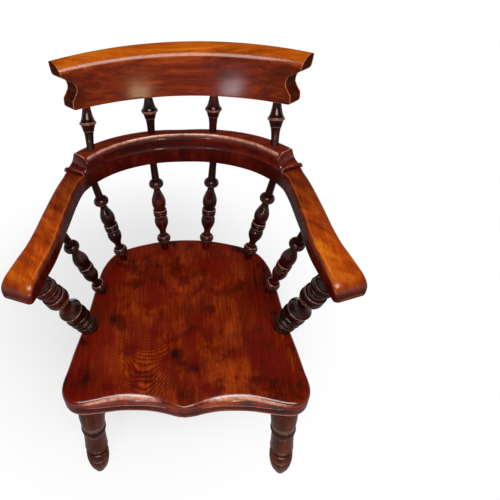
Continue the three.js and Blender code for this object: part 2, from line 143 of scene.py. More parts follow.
def sag(radius: float, into: Any) -> Any:
    """How far a round edge has fallen at a distance into its arc."""
    return radius - np.sqrt(np.maximum(radius ** 2 - np.maximum(0, into) ** 2, 0))


class Spline:
    """A Catmull-Rom curve that is walked by shares of its length."""

    FINE = 48
    SIGHT = 2.0

    def __init__(self, points: np.ndarray, power: float) -> None:
        """Lays the curve.

        Args:
            points: points of the curve, with one guide point before and one after them.
            power: 0 for a uniform curve, 0.5 for a centripetal one.
        """
        start, out, end, back = hermite(np.linspace(0, 1, self.FINE, endpoint=False)[:, None])
        runs = []
        for a, b, c, d in zip(points, points[1:], points[2:], points[3:]):
            first, step, last = (
                float(np.linalg.norm(q - p)) ** power for p, q in ((a, b), (b, c), (c, d))
            )
            leave = ((b - a) / first - (c - a) / (first + step) + (c - b) / step) * step
            reach = ((c - b) / step - (d - b) / (step + last) + (d - c) / last) * step
            runs.append(start * b + out * leave + end * c + back * reach)
        self.points = np.vstack([*runs, points[-2][None]])
        steps = np.linalg.norm(np.diff(self.points, axis=0), axis=1)
        self.walked = np.concatenate([[0], np.cumsum(steps)])
        self.length = float(self.walked[-1])

    def at(self, shares: Any) -> np.ndarray:
        """Points at shares of the curve's length."""
        way = np.clip(np.atleast_1d(shares), 0, 1) * self.length
        return np.stack([np.interp(way, self.walked, axis) for axis in self.points.T], -1)

    def heading(self, shares: Any) -> np.ndarray:
        """Reads the way of the curve, from a little before a point to a little behind it.

        Args:
            shares: shares of the curve's length.

        Returns:
            One unit vector for each share.
        """
        shares = np.atleast_1d(np.asarray(shares, float))
        step = self.SIGHT / self.length
        way = self.at(shares + step) - self.at(shares - step)
        return way / np.linalg.norm(way, axis=-1, keepdims=True)


# Plan of the chair

@dataclass(frozen=True)
class Plan:
    """Sizes that several pieces share, and the places where they meet.

    Attributes:
        front: Y of the seat's front point in the CAD frame.
        bow_back_inset: how far the bow's centre line lies behind the seat.
        crest_end: share of the way to the arm's tip at which the crest ends.
        crest_top_middle, crest_top_end: middle of the crest's top in its middle and at its
            ends, as a share of half the arm's width to the outside.
        joint: gap between the crest and the arms.
        bow_shares: centre line of the bow, as shares of its half span and of its length.
    """

    front: float
    seat_height: float = 440.0
    seat_thickness: float = 41.0
    seat_width: float = 486.0
    seat_depth: float = 435.0
    arm_height: float = 705.0
    arm_thickness: float = 37.0
    arm_width: float = 46.0
    arm_half_span: float = 283.0
    bow_length: float = 393.0
    bow_back_inset: float = 42.0
    crest_height: float = 33.0
    crest_end: float = 0.458
    crest_top_middle: float = -0.22
    crest_top_end: float = 0.2
    joint: float = 0.3
    bow_shares: Table = (
        (0, 0), (0.141, 0.004), (0.261, 0.017), (0.424, 0.052), (0.569, 0.104), (0.697, 0.178),
        (0.758, 0.234), (0.797, 0.308), (0.823, 0.389), (0.849, 0.506), (0.866, 0.588),
        (0.879, 0.667), (0.904, 0.766), (0.94, 0.855), (0.972, 0.939), (1, 1),
    )

    @property
    def bow_back(self) -> float:
        """Y of the bow's centre line at the middle of the back."""
        return self.seat_depth + self.bow_back_inset

    @property
    def arm_under(self) -> float:
        """Height of the arms' underside."""
        return self.arm_height - self.arm_thickness

    @property
    def crest_top(self) -> float:
        """Height of the crest's top."""
        return self.arm_height + self.crest_height

    def bow(self) -> Spline:
        """Lays the centre line of the bow's right half.

        Returns:
            The curve, from the middle of the back to the arm's tip.
        """
        points = np.array([
            (x * self.arm_half_span, self.bow_back - y * self.bow_length)
            for x, y in self.bow_shares
        ])
        ends = 2 * points[0] - points[1], 2 * points[-1] - points[-2]
        return Spline(np.vstack([ends[0], points, ends[1]]), 0.5)

    def on_bow(self, share: Any, outside: Any, height: Any, side: int) -> np.ndarray:
        """Points beside the bow's centre line.

        Args:
            share: shares of the way to the arm's tip.
            outside: how far the points lie outside the centre line.
            height: heights above the floor.
            side: -1 for the left half, 1 for the right.

        Returns:
            One row of x, y and z for each share.
        """
        bow = self.bow()
        share, outside, height = np.broadcast_arrays(
            np.atleast_1d(share).astype(float), outside, height)
        point, way = bow.at(share), bow.heading(share)
        way[share <= 0] = (1, 0)
        x = point[:, 0] - way[:, 1] * outside
        y = point[:, 1] + way[:, 0] * outside
        return np.stack([side * x, y, height], -1)

    def on_seat(self, shares: Sequence[float], side: int, height: float) -> np.ndarray:
        """Place on the seat from shares of its half width and of its depth."""
        x, y = shares
        return np.array([side * x * self.seat_width / 2, y * self.seat_depth, height])

    def placed(self, points: np.ndarray) -> np.ndarray:
        """Points of the chair's own frame in the CAD frame, in metres."""
        return (np.asarray(points, float) + (0, self.front, 0)) * MM


# Shader maths

class Wire:
    """An output socket that takes part in Python sums."""

    def __init__(self, graph: "Graph", socket: bpy.types.NodeSocket) -> None:
        """Keeps the socket and the graph that grows around it."""
        self.graph, self.socket = graph, socket

    def _math(self, operation: str, first: Any, second: Any) -> "Wire":
        """Adds one Math node for two values or wires."""
        inputs = {0: first, 1: second}
        return self.graph.add("ShaderNodeMath", {"operation": operation}, inputs)

    def __add__(self, other: Any) -> "Wire":
        """This plus the other."""
        return self._math("ADD", self, other)

    def __radd__(self, other: Any) -> "Wire":
        """The other plus this."""
        return self._math("ADD", other, self)

    def __sub__(self, other: Any) -> "Wire":
        """This less the other."""
        return self._math("SUBTRACT", self, other)

    def __rsub__(self, other: Any) -> "Wire":
        """The other less this."""
        return self._math("SUBTRACT", other, self)

    def __mul__(self, other: Any) -> "Wire":
        """This times the other."""
        return self._math("MULTIPLY", self, other)

    def __rmul__(self, other: Any) -> "Wire":
        """The other times this."""
        return self._math("MULTIPLY", other, self)

    def sine(self) -> "Wire":
        """Sine of this, in radians."""
        return self.graph.add("ShaderNodeMath", {"operation": "SINE"}, {0: self})

    def larger(self, other: Any) -> "Wire":
        """The larger of this and the other."""
        return self._math("MAXIMUM", self, other)

    def step(self, start: float, end: float) -> "Wire":
        """Smooth step of this from 0 at start to 1 at end, which may lie below start."""
        settings = {"interpolation_type": "SMOOTHSTEP"}
        return self.graph.add("ShaderNodeMapRange", settings, {0: self, 1: start, 2: end})


class Graph:
    """Node tree of a material or of the world, built from Python expressions."""

    def __init__(self, tree: bpy.types.NodeTree) -> None:
        """Empties the tree."""
        tree.nodes.clear()
        self.tree = tree

    def add(self, kind: str, settings: Mapping[str, Any] | None = None,
            inputs: Mapping[Any, Any] | None = None, out: Any = 0) -> Wire:
        """Adds any node.

        Args:
            kind: type of the node.
            settings: properties that are set first; "stops" fills a colour ramp.
            inputs: values or wires by socket name or number.
            out: name or number of the output that is returned.

        Returns:
            The output as a wire. A node without outputs gives its first input.
        """
        node = self.tree.nodes.new(kind)
        for name, value in (settings or {}).items():
            if name == "stops":
                self._fill(node.color_ramp, value)
            else:
                setattr(node, name, value)
        for key, value in (inputs or {}).items():
            if isinstance(value, Wire):
                self.tree.links.new(value.socket, node.inputs[key])
            else:
                node.inputs[key].default_value = value
        return Wire(self, node.outputs[out] if len(node.outputs) else node.inputs[0])

    @staticmethod
    def _fill(ramp: bpy.types.ColorRamp, stops: Sequence[tuple[float, Rgb]]) -> None:
        """Gives a colour ramp its stops.

        Args:
            ramp: the ramp, which has two stops.
            stops: place and colour of each stop.
        """
        for number, (place, colour) in enumerate(stops):
            stop = ramp.elements[number] if number < 2 else ramp.elements.new(place)
            stop.position, stop.color = place, linear(colour)

    def noise(self, place: Wire, scale: float, detail: float = 2.0, **inputs: float) -> Wire:
        """Adds smooth noise of 0 to 1 at a scale per metre."""
        values = {"Vector": place, "Scale": scale, "Detail": detail, **inputs}
        return self.add("ShaderNodeTexNoise", None, values)

    def vector(self, operation: str, first: Any, second: Any, out: int = 0) -> Wire:
        """Adds a Vector Math node for two vectors."""
        inputs = {0: first, 1: second}
        return self.add("ShaderNodeVectorMath", {"operation": operation}, inputs, out)

    def distance(self, first: Any, second: Any) -> Wire:
        """Distance between two points."""
        return self.vector("DISTANCE", first, second, 1)

    def blend(self, share: Any, first: Any, second: Any) -> Wire:
        """Mixes two colours by a share."""
        settings = {"data_type": "RGBA"}
        return self.add("ShaderNodeMix", settings, {0: share, 6: first, 7: second}, 2)

    def attribute(self, name: str, out: int) -> Wire:
        """Reads a mesh attribute, as a vector (1) or as a number (2)."""
        return self.add("ShaderNodeAttribute", {"attribute_name": name}, None, out)

    def axes(self, place: Wire) -> tuple[Wire, Wire, Wire]:
        """Splits a vector.

        Args:
            place: the vector.

        Returns:
            Its x, y and z.
        """
        split = self.add("ShaderNodeSeparateXYZ", None, {0: place})
        outputs = split.socket.node.outputs
        return Wire(self, outputs[0]), Wire(self, outputs[1]), Wire(self, outputs[2])


def new_material(name: str) -> tuple[bpy.types.Material, Graph]:
    """Makes an empty material.

    Args:
        name: name of the material.

    Returns:
        The material and the graph of its nodes.
    """
    made = bpy.data.materials.new(name)
    made.use_nodes = True
    return made, Graph(made.node_tree)


def rough_up(graph: Graph, height: Wire, strength: float) -> Wire:
    """Normal of a surface that is a tenth of a millimetre rough."""
    inputs = {"Strength": strength, "Distance": 0.1 * MM, "Height": height}
    return graph.add("ShaderNodeBump", None, inputs)


# Finishes

class Grain(Enum):
    """Way that the grain runs through a piece, in its own coordinates."""

    ACROSS = 0
    BACK = 1
    UP = 2

    def scales(self, across: float, along: float) -> tuple[float, float, float]:
        """Scales of the three axes, with one of its own for the way of the grain."""
        return tuple(along if axis == self.value else across for axis in range(3))


@dataclass(frozen=True)
class Tones:
    """Dark, middle and light colour of a stained wood."""

    deep: Rgb
    body: Rgb
    warm: Rgb

    REACH = 0.17

    def spread(self, graph: Graph, tone: Wire, contrast: float) -> Wire:
        """Colours the wood.

        Args:
            graph: the material's graph.
            tone: how light the wood is, around one half.
            contrast: how soon the colours part from the middle one.

        Returns:
            The colour.
        """
        reach = self.REACH / contrast
        stops = [(0.5 - reach, self.deep), (0.5, self.body), (0.5 + reach, self.warm)]
        return graph.add("ShaderNodeValToRGB", {"stops": stops}, {0: tone})


@dataclass(frozen=True)
class PolishedWood:
    """French-polished hardwood: growth bands, fibres, pores, dark hollows, rubbed arrises and
    painted highlights.

    A mesh that wears it has the attributes "place", its coordinates along the grain in
    metres, "relief", above 0 on arrises and below 0 in hollows, and "buff", 1 where hands
    and dusters have kept the polish bright. Some pieces also put painted highlights and
    painted reflections into "relief" above 0, and painted shade below 0.

    Attributes:
        worn_and_sheen: colour where the stain is rubbed off, and of painted highlights and
            reflections.
        stain: colour of the pores, of the hollows in which stain has gathered, and of painted
            shade.
        grain: way of the grain.
        band_scale, band_share: scale per metre of the growth bands, and their share.
        mottle_scale, mottle_share: the same for the broad patches.
        contrast: how far the tones stand apart.
        blush_share: how strong the red patches are.
        roughness, specular: of the wood under its polish.
        coat, coat_roughness: of the polish.
        wear_and_sheen: how far rubbed places and painted highlights go to the rubbed colour.
        crown: relief at which that colour begins and at which it is full.
    """

    name: str
    tones: Tones
    worn_and_sheen: Rgb
    stain: Rgb
    grain: Grain
    band_scale: float = 90.0
    band_share: float = 0.35
    mottle_scale: float = 11.0
    mottle_share: float = 0.4
    contrast: float = 1.0
    blush_share: float = 0.0
    roughness: float = 0.4
    specular: float = 0.03
    coat: float = 0.9
    coat_roughness: float = 0.08
    wear_and_sheen: float = 0.8
    crown: tuple[float, float] = (0.4, 0.9)

    BLUSH = (104, 10, 3)
    BAND_SQUEEZE = 0.06
    MOTTLE_SQUEEZE = 0.4
    FIBRE_SQUEEZE = 0.02
    PORE_SQUEEZE = 0.045
    FIBRE_SCALE = 900.0
    PORE_SCALE = 1500.0
    PORE_RANGE = (0.62, 0.74)
    BLUSH_SCALE = 17.0
    BLUSH_RANGE = (0.44, 0.6)
    DARK_RELIEF_RANGE = (-0.08, -0.7)
    SCUFF_SCALE = 130.0
    SCUFF_RANGE = (0.3, 0.62)
    SMEAR_SCALE = 24.0
    RIPPLE_SCALE = 300.0
    DULLEST = 0.06
    BUMP = 0.1

    def along(self, graph: Graph, place: Wire, share: float) -> Wire:
        """Coordinates that are squeezed along the grain, so that marks grow long."""
        return graph.vector("MULTIPLY", place, self.grain.scales(1.0, share))

    def figure(self, graph: Graph, place: Wire) -> Wire:
        """Growth bands along the grain, as a wire of 0 to 1."""
        stretched = self.along(graph, place, self.BAND_SQUEEZE)
        return graph.noise(stretched, self.band_scale, 4.0, Roughness=0.6, Distortion=0.5)

    def mottle(self, graph: Graph, place: Wire) -> Wire:
        """Broad light and dark patches of the stain, as a wire of 0 to 1."""
        stretched = self.along(graph, place, self.MOTTLE_SQUEEZE)
        return graph.noise(stretched, self.mottle_scale, 4.0, Roughness=0.6)

    def colour(self, graph: Graph, tone: Wire) -> Wire:
        """Colour of the wood all over the piece."""
        return self.tones.spread(graph, tone, self.contrast)

    def material(self) -> bpy.types.Material:
        """Builds the material.

        Returns:
            The new material.
        """
        made, graph = new_material(self.name)
        place, relief = graph.attribute("place", 1), graph.attribute("relief", 2)
        threads = self.along(graph, place, self.FIBRE_SQUEEZE)
        fibre = graph.noise(threads, self.FIBRE_SCALE, 3.0, Roughness=0.7)
        dashes = self.along(graph, place, self.PORE_SQUEEZE)
        pore = graph.noise(dashes, self.PORE_SCALE, 1.0).step(*self.PORE_RANGE)
        # dark where relief is below 0: stain in hollows, and painted shade on the seat's front edge
        dark_relief = relief.step(*self.DARK_RELIEF_RANGE)
        scuff = graph.noise(place, self.SCUFF_SCALE, 3.0).step(*self.SCUFF_RANGE)
        # light where relief is above 0: rubbed arrises, and painted highlights and reflections on
        # some rolls and edges
        bare = relief.step(*self.crown) * (0.45 + scuff * 0.55) * self.wear_and_sheen
        patch = graph.noise(place, self.BLUSH_SCALE, 3.0, Roughness=0.55).step(*self.BLUSH_RANGE)
        rest = 1.0 - self.band_share - self.mottle_share
        tone = (self.figure(graph, place) * self.band_share
                + self.mottle(graph, place) * self.mottle_share + fibre * rest)
        colour = self.colour(graph, tone)
        for share, other in ((patch * self.blush_share, self.BLUSH), (pore * 0.5, self.stain),
                             (dark_relief * 0.8, self.stain), (bare, self.worn_and_sheen)):
            colour = graph.blend(share, colour, linear(other))
        smear = graph.noise(place, self.SMEAR_SCALE, 4.0, Roughness=0.65)
        ripple = graph.noise(place, self.RIPPLE_SCALE, 2.0)
        bright = graph.attribute("buff", 2) * (1 - self.DULLEST) + self.DULLEST
        shader = graph.add("ShaderNodeBsdfPrincipled", None, {
            "Base Color": colour,
            "Roughness": self.roughness - 0.05 + smear * 0.1 + dark_relief * 0.12 + pore * 0.08,
            "Normal": rough_up(graph, fibre * 0.25 - pore + ripple * 0.5, self.BUMP),
            "Specular IOR Level": self.specular,
            "Coat Weight": (1.0 - dark_relief * 0.6) * bright * self.coat,
            "Coat Roughness": self.coat_roughness,
        })
        graph.add("ShaderNodeOutputMaterial", None, {"Surface": shader})
        return made


@dataclass(frozen=True)
class SeatWood(PolishedWood):
    """Seat board: straight grain that arches round one heart, knots, clouds of tone.

    Attributes:
        level: height of the saddle above the floor, in metres like the places below.
        heart: place round which the grain arches.
        arch_back: how far back the arches show.
        arch: how strongly they bend.
        knots: place and size of each knot.
        clouds: place, size and gain in tone of each cloud: the stain's own uneven tone, with
            painted light towards the front and painted shade towards the back and front corners.
    """

    level: float = 0.431
    heart: tuple[float, float] = (-0.085, -0.04)
    arch_back: float = -0.19
    arch: float = 8.0
    knots: Table = ((-0.018, -0.146, 0.012), (0.017, -0.176, 0.009))
    clouds: Table = (
        (0.10, -0.20, 0.07, 0.16), (0.03, -0.21, 0.04, 0.1), (-0.09, -0.19, 0.07, 0.16),
        (-0.10, -0.02, 0.09, 0.14), (0.16, 0.0, 0.1, -0.2), (0.0, 0.02, 0.08, 0.1),
        (-0.2, -0.21, 0.06, -0.2), (0.2, -0.21, 0.05, -0.14), (0.13, -0.12, 0.06, -0.1),
        (-0.02, 0.06, 0.05, -0.1), (0.0, 0.17, 0.15, -0.1), (0.0, -0.235, 0.03, -0.14),
        (0.02, -0.18, 0.03, -0.16), (-0.02, -0.145, 0.03, -0.12),
    )

    DRIFT_SCALE = 9.0
    RINGS = 1300.0
    KNOT_RINGS = 9.0
    ARCH_RANGE = (0.12, 0.04)
    BLOTCH_SCALE = 26.0
    GLOW_SCALE = 19.0

    def gap(self, graph: Graph, place: Wire, left: float, back: float) -> Wire:
        """Distance from a place on the saddle."""
        return graph.distance(place, (left, back, self.level))

    def figure(self, graph: Graph, place: Wire) -> Wire:
        """Lays straight grain, with rings that arch at the front left and round the knots.

        Args:
            graph: the material's graph.
            place: coordinates along the grain.

        Returns:
            The figure, around 0 to 1.
        """
        drift = graph.noise(place, self.DRIFT_SCALE, 2.0) - 0.5
        x, y, _ = graph.axes(place)
        off = x - self.heart[0] + drift * 0.03
        path = y * 0.5 - off * off * self.arch + drift * 0.05
        near = 0.0
        for left, back, size in self.knots:
            near = self.gap(graph, place, left, back).step(size * 3.5, size * 0.5) + near
        rings = ((path * self.RINGS + near * self.KNOT_RINGS).sine() + 1.0) * 0.5
        arches = self.gap(graph, place, self.heart[0], self.arch_back).step(*self.ARCH_RANGE)
        return super().figure(graph, place) + (rings - 0.5) * arches.larger(near) * 0.4

    def mottle(self, graph: Graph, place: Wire) -> Wire:
        """Lays clouds, partly painted light and shade, small blotches, and the dark hearts of the
        knots.

        Args:
            graph: the material's graph.
            place: coordinates along the grain.

        Returns:
            The patches, around 0 to 1.
        """
        dark = graph.noise(place, self.BLOTCH_SCALE, 2.0, Roughness=0.5).step(0.52, 0.7)
        glow = graph.noise(place, self.GLOW_SCALE, 2.0, Distortion=0.4).step(0.55, 0.75)
        patch = super().mottle(graph, place) - dark * 0.22 + glow * 0.06
        # clouds: uneven stain, with painted light towards the front and painted shade towards the
        # back and front corners
        for left, back, size, gain in self.clouds:
            patch = patch + self.gap(graph, place, left, back).step(size, 0.0) * gain
        for left, back, size in self.knots:
            patch = patch - self.gap(graph, place, left, back).step(size * 1.6, size * 0.3) * 0.3
        return patch


@dataclass(frozen=True)
class SlopeShadedWood(PolishedWood):
    """Wood with painted light on its upward faces and painted shade on its slopes and undersides.

    Its meshes also have the attribute "shade", 1 where painted shade darkens the wood.
    On the arms it is also kept high towards the back and at the nose.

    Attributes:
        dark: colours of the wood in painted shade, and of the arms' darker parts.
    """

    dark: Tones = Tones((30, 5, 3), (66, 11, 4), (110, 30, 8))

    def colour(self, graph: Graph, tone: Wire) -> Wire:
        """Painted light on the tops and painted shade on the sides."""
        light, dark = (kind.spread(graph, tone, self.contrast) for kind in (self.tones, self.dark))
        return graph.blend(graph.attribute("shade", 2), light, dark)


@dataclass(frozen=True)
class ArmWood(SlopeShadedWood):
    """Arm wood, with a curly figure aslant over the tops."""

    BAR_SCALE = 42.0
    BAR_SHARE = 0.6

    def mottle(self, graph: Graph, place: Wire) -> Wire:
        """Lays slanting bars of light and dark.

        Args:
            graph: the material's graph.
            place: coordinates along the grain.

        Returns:
            The bars, as a wire of 0 to 1.
        """
        x, y, z = graph.axes(place)
        slant = graph.add("ShaderNodeCombineXYZ", None, {0: x + y, 1: (x - y) * 0.3, 2: z * 0.3})
        bars = graph.noise(slant, self.BAR_SCALE, 3.0, Roughness=0.6) * self.BAR_SHARE
        return bars + graph.noise(place, self.mottle_scale, 3.0) * (1 - self.BAR_SHARE)


@dataclass(frozen=True)
class ScrewSteel:
    """Dull steel of the wood screws."""

    name: str = "screw_steel"
    colour: Rgb = (128, 124, 118)
    rust: Rgb = (92, 48, 26)

    def material(self) -> bpy.types.Material:
        """Builds the steel, with fine turning marks and spots of rust.

        Returns:
            The new material.
        """
        made, graph = new_material(self.name)
        place = graph.add("ShaderNodeTexCoord", None, None, "Object")
        rust = graph.noise(place, 600.0, 4.0).step(0.52, 0.68)
        marks = graph.noise(graph.vector("MULTIPLY", place, (1.0, 1.0, 12.0)), 900.0, 2.0)
        shader = graph.add("ShaderNodeBsdfPrincipled", None, {
            "Base Color": graph.blend(rust * 0.6, linear(self.colour), linear(self.rust)),
            "Metallic": 1.0 - rust * 0.8, "Roughness": 0.38 + rust * 0.4,
            "Normal": rough_up(graph, marks, 0.3),
        })
        graph.add("ShaderNodeOutputMaterial", None, {"Surface": shader})
        return made


SEAT_WOOD = SeatWood(
    "seat_wood", Tones((42, 8, 3), (102, 24, 3), (160, 62, 9)), worn_and_sheen=(228, 168, 144),
    stain=(16, 3, 2), grain=Grain.BACK, band_scale=230.0, band_share=0.27, mottle_scale=13.0,
    mottle_share=0.48, contrast=1.15, blush_share=0.6, coat=0.85, coat_roughness=0.15)
TURNED_WOOD = PolishedWood(
    "turned_wood", Tones((12, 3, 2), (36, 7, 4), (80, 20, 10)), worn_and_sheen=(206, 140, 116),
    stain=(5, 1, 1), grain=Grain.UP, band_scale=120.0, contrast=1.2, coat=0.48, wear_and_sheen=0.4,
    crown=(0.75, 1.0))
LEG_WOOD = PolishedWood(
    "leg_wood", Tones((34, 9, 4), (74, 27, 11), (120, 58, 29)), worn_and_sheen=(206, 150, 118),
    stain=(10, 4, 3), grain=Grain.UP, contrast=1.3, coat=0.4, wear_and_sheen=0.35, crown=(0.75, 1.0))
ARM_WOOD = ArmWood(
    "arm_wood", Tones((90, 22, 2), (164, 63, 4), (212, 112, 15)), worn_and_sheen=(240, 180, 120),
    stain=(40, 10, 4), grain=Grain.BACK, band_share=0.2, mottle_share=0.6, contrast=1.2,
    coat=0.6, coat_roughness=0.2)
CREST_WOOD = SlopeShadedWood(
    "crest_wood", Tones((60, 12, 5), (92, 24, 8), (136, 50, 16)), worn_and_sheen=(226, 158, 132),
    stain=(14, 4, 3), grain=Grain.ACROSS, coat=0.7, coat_roughness=0.12,
    dark=Tones((24, 4, 3), (60, 8, 3), (112, 26, 6)))
COMB_WOOD = SlopeShadedWood(
    "comb_wood", Tones((112, 40, 4), (170, 78, 8), (212, 120, 24)), worn_and_sheen=(226, 160, 100),
    stain=(30, 8, 4), grain=Grain.ACROSS, mottle_scale=8.0, contrast=1.3, roughness=0.36,
    specular=0.02, coat=0.45, coat_roughness=0.12,
    dark=Tones((52, 10, 2), (106, 30, 3), (160, 68, 8)))


# Meshes

class Shell:
    """Closed mesh that is gathered from points and faces, in millimetres."""

    def __init__(self) -> None:
        """Starts without points."""
        self.points: list[np.ndarray] = []
        self.faces: Faces = []

    def put(self, points: np.ndarray) -> int:
        """Adds points.

        Args:
            points: an array whose last axis is x, y and z.

        Returns:
            The number of the first point.
        """
        first = sum(len(rows) for rows in self.points)
        self.points.append(np.asarray(points, float).reshape(-1, 3))
        return first

    def loft(self, loops: np.ndarray) -> int:
        """Adds closed loops of equal length with quads between them.

        Args:
            loops: array of loops, points and x, y, z.

        Returns:
            The number of the first point.
        """
        levels, count = loops.shape[:2]
        first = self.put(loops)
        for level in range(levels - 1):
            row = first + level * count
            for at in range(count):
                beside = (at + 1) % count
                self.faces.append((row + at, row + beside, row + count + beside, row + count + at))
        return first

    def close(self, loop: np.ndarray, first: int, rows: int) -> None:
        """Closes a loop with a grid of quads.

        Args:
            loop: the loop's points: up one side, over the top, down and back under.
            first: number of the loop's first point.
            rows: how many of the points go up one side.
        """
        count = len(loop)
        cols = (count - 2 * rows) // 2 + 2
        grid = np.zeros((rows, cols), int)
        ring = np.arange(count)
        grid[:, 0] = ring[:rows]
        grid[-1] = ring[rows - 1:rows + cols - 1]
        grid[:, -1] = ring[rows + cols - 2:2 * rows + cols - 2][::-1]
        grid[0] = np.concatenate([[0], ring[2 * rows + cols - 3:][::-1]])
        up = np.linspace(0, 1, rows)[1:-1, None, None]
        over = np.linspace(0, 1, cols)[None, 1:-1, None]
        left, right = loop[grid[1:-1, 0]][:, None], loop[grid[1:-1, -1]][:, None]
        low, high = loop[grid[0, 1:-1]][None], loop[grid[-1, 1:-1]][None]
        foot, head = (mix(loop[grid[row, 0]], loop[grid[row, -1]], over) for row in (0, -1))
        inner = mix(left, right, over) + mix(low, high, up) - mix(foot, head, up)
        grid += first
        if rows > 2 and cols > 2:
            start = self.put(inner)
            size = (rows - 2) * (cols - 2)
            grid[1:-1, 1:-1] = np.arange(start, start + size).reshape(rows - 2, cols - 2)
        for near, far in zip(grid, grid[1:]):
            for at in range(cols - 1):
                self.faces.append((near[at], near[at + 1], far[at + 1], far[at]))

    def fan(self, centre: np.ndarray, first: int, count: int) -> None:
        """Closes a loop with triangles round a centre.

        Args:
            centre: the centre.
            first: number of the loop's first point.
            count: how many points the loop has.
        """
        hub = self.put(centre)
        for at in range(count):
            self.faces.append((first + at, first + (at + 1) % count, hub))

    def mesh(self, name: str, points: np.ndarray, crease: float = CREASE) -> bpy.types.Mesh:
        """Makes the Blender mesh, smooth but for its arrises.

        Args:
            name: name of the mesh.
            points: the gathered points in metres, in the object's coordinates.
            crease: angle in degrees above which an edge stays sharp.

        Returns:
            The mesh with outward faces.
        """
        made = bpy.data.meshes.new(name)
        made.from_pydata([tuple(p) for p in points], [], [tuple(map(int, f)) for f in self.faces])
        edit = bmesh.new()
        edit.from_mesh(made)
        bmesh.ops.recalc_face_normals(edit, faces=edit.faces)
        edit.to_mesh(made)
        edit.free()
        made.polygons.foreach_set("use_smooth", [True] * len(made.polygons))
        made.set_sharp_from_angle(angle=math.radians(crease))
        return made


def sawn(name: str, plan: Plan, loops: np.ndarray, rows: int) -> bpy.types.Mesh:
    """Makes the mesh of a sawn piece and marks its arrises.

    Args:
        name: name of the mesh.
        plan: the chair's plan.
        loops: sections of the piece, each up one side, over the top, down and back under.
        rows: how many points of a section go up one side.

    Returns:
        The mesh, which has the loops' points first.
    """
    shell = Shell()
    first = shell.loft(loops)
    for level in (0, len(loops) - 1):
        shell.close(loops[level], first + level * loops.shape[1], rows)
    made = shell.mesh(name, plan.placed(np.vstack(shell.points)))
    mark_arrises(made)
    return made


def write(mesh: bpy.types.Mesh, name: str, values: Any) -> None:
    """Writes a new attribute.

    Args:
        mesh: the mesh.
        name: name of the attribute.
        values: a number or a vector for each of the mesh's points.
    """
    rows = np.asarray(values, float)
    kind, word = ("FLOAT", "value") if rows.ndim == 1 else ("FLOAT_VECTOR", "vector")
    mesh.attributes.new(name, kind, "POINT").data.foreach_set(word, rows.ravel())


def upward(mesh: bpy.types.Mesh) -> np.ndarray:
    """Upward part of the normal at each of a mesh's points."""
    return np.array([vertex.normal.z for vertex in mesh.vertices])


def mark_arrises(mesh: bpy.types.Mesh, angle: float = 28.0) -> None:
    """Writes the attribute "relief": 1 on convex arrises, -1 in creases, 0 elsewhere.

    Args:
        mesh: the mesh.
        angle: angle in degrees above which an edge is an arris or a crease.
    """
    edit = bmesh.new()
    edit.from_mesh(mesh)
    relief = [0.0] * len(edit.verts)
    for edge in edit.edges:
        turn = edge.calc_face_angle_signed(0.0)
        if abs(turn) > math.radians(angle):
            for vertex in edge.verts:
                relief[vertex.index] = math.copysign(1.0, turn)
    edit.free()
    write(mesh, "relief", relief)


@contextmanager
def reworked(mesh: bpy.types.Mesh,
             shape: tuple[int, int]) -> Iterator[tuple[np.ndarray, np.ndarray]]:
    """Opens the attribute "relief" for changes.

    Args:
        mesh: a mesh that has the points of its loops first.
        shape: number of loops and of points in each.

    Yields:
        The relief of the loops, one row for each, and of the points that close their ends.
        Both are written back at the end.
    """
    count = shape[0] * shape[1]
    relief = np.zeros(len(mesh.vertices))
    mesh.attributes["relief"].data.foreach_get("value", relief)
    yield relief[:count].reshape(shape), relief[count:]
    mesh.attributes["relief"].data.foreach_set("value", relief)


def shade_by_slope(mesh: bpy.types.Mesh, start: Any, end: Any,
                   bare: np.ndarray | None = None) -> None:
    """Writes the attribute "shade", painted shade: 1 on slopes and undersides, 0 where a face looks
    up.

    Args:
        mesh: the mesh.
        start: upward part of a normal at which painted light begins to replace painted shade.
        end: upward part at which the painted light is full.
        bare: how light it may get at each of the first points, while the others stay
            dark; if not given, all may get light.
    """
    light = fade(start, end, upward(mesh))
    if bare is not None:
        light = light * np.pad(bare, (0, len(light) - len(bare)))
    write(mesh, "shade", 1 - light)


class Workshop:
    """Puts finished meshes into the scene and keeps one material per finish."""

    BUFFED = (0.2, 0.55)

    def __init__(self) -> None:
        """Starts with no material."""
        self.materials: dict[str, bpy.types.Material] = {}

    def material(self, finish: Any) -> bpy.types.Material:
        """Looks up the material of a finish, which is made once.

        Args:
            finish: the finish.

        Returns:
            Its material.
        """
        if finish.name not in self.materials:
            self.materials[finish.name] = finish.material()
        return self.materials[finish.name]

    def show(self, name: str, mesh: bpy.types.Mesh, finish: Any, slot: str, node: str,
             grain: np.ndarray | None = None) -> bpy.types.Object:
        """Shows a mesh in the place of a CAD node.

        Args:
            name: name of the new piece.
            mesh: its mesh.
            finish: its finish.
            slot: name of a material slot; not used.
            node: the CAD node that it stands for.
            grain: coordinates of its points along the grain, if not the frame's own.

        Returns:
            The new object.
        """
        piece = bpy.data.objects.new(name, mesh)
        bpy.context.scene.collection.objects.link(piece)
        if grain is None:
            grain = np.array([vertex.co for vertex in mesh.vertices])
        write(mesh, "place", grain)
        write(mesh, "buff", fade(*self.BUFFED, upward(mesh)))
        mesh.materials.append(self.material(finish))
        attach(piece, BODY)
        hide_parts(node)
        log.info("%s: %d faces", name, len(mesh.polygons))
        return piece


# Turned pieces

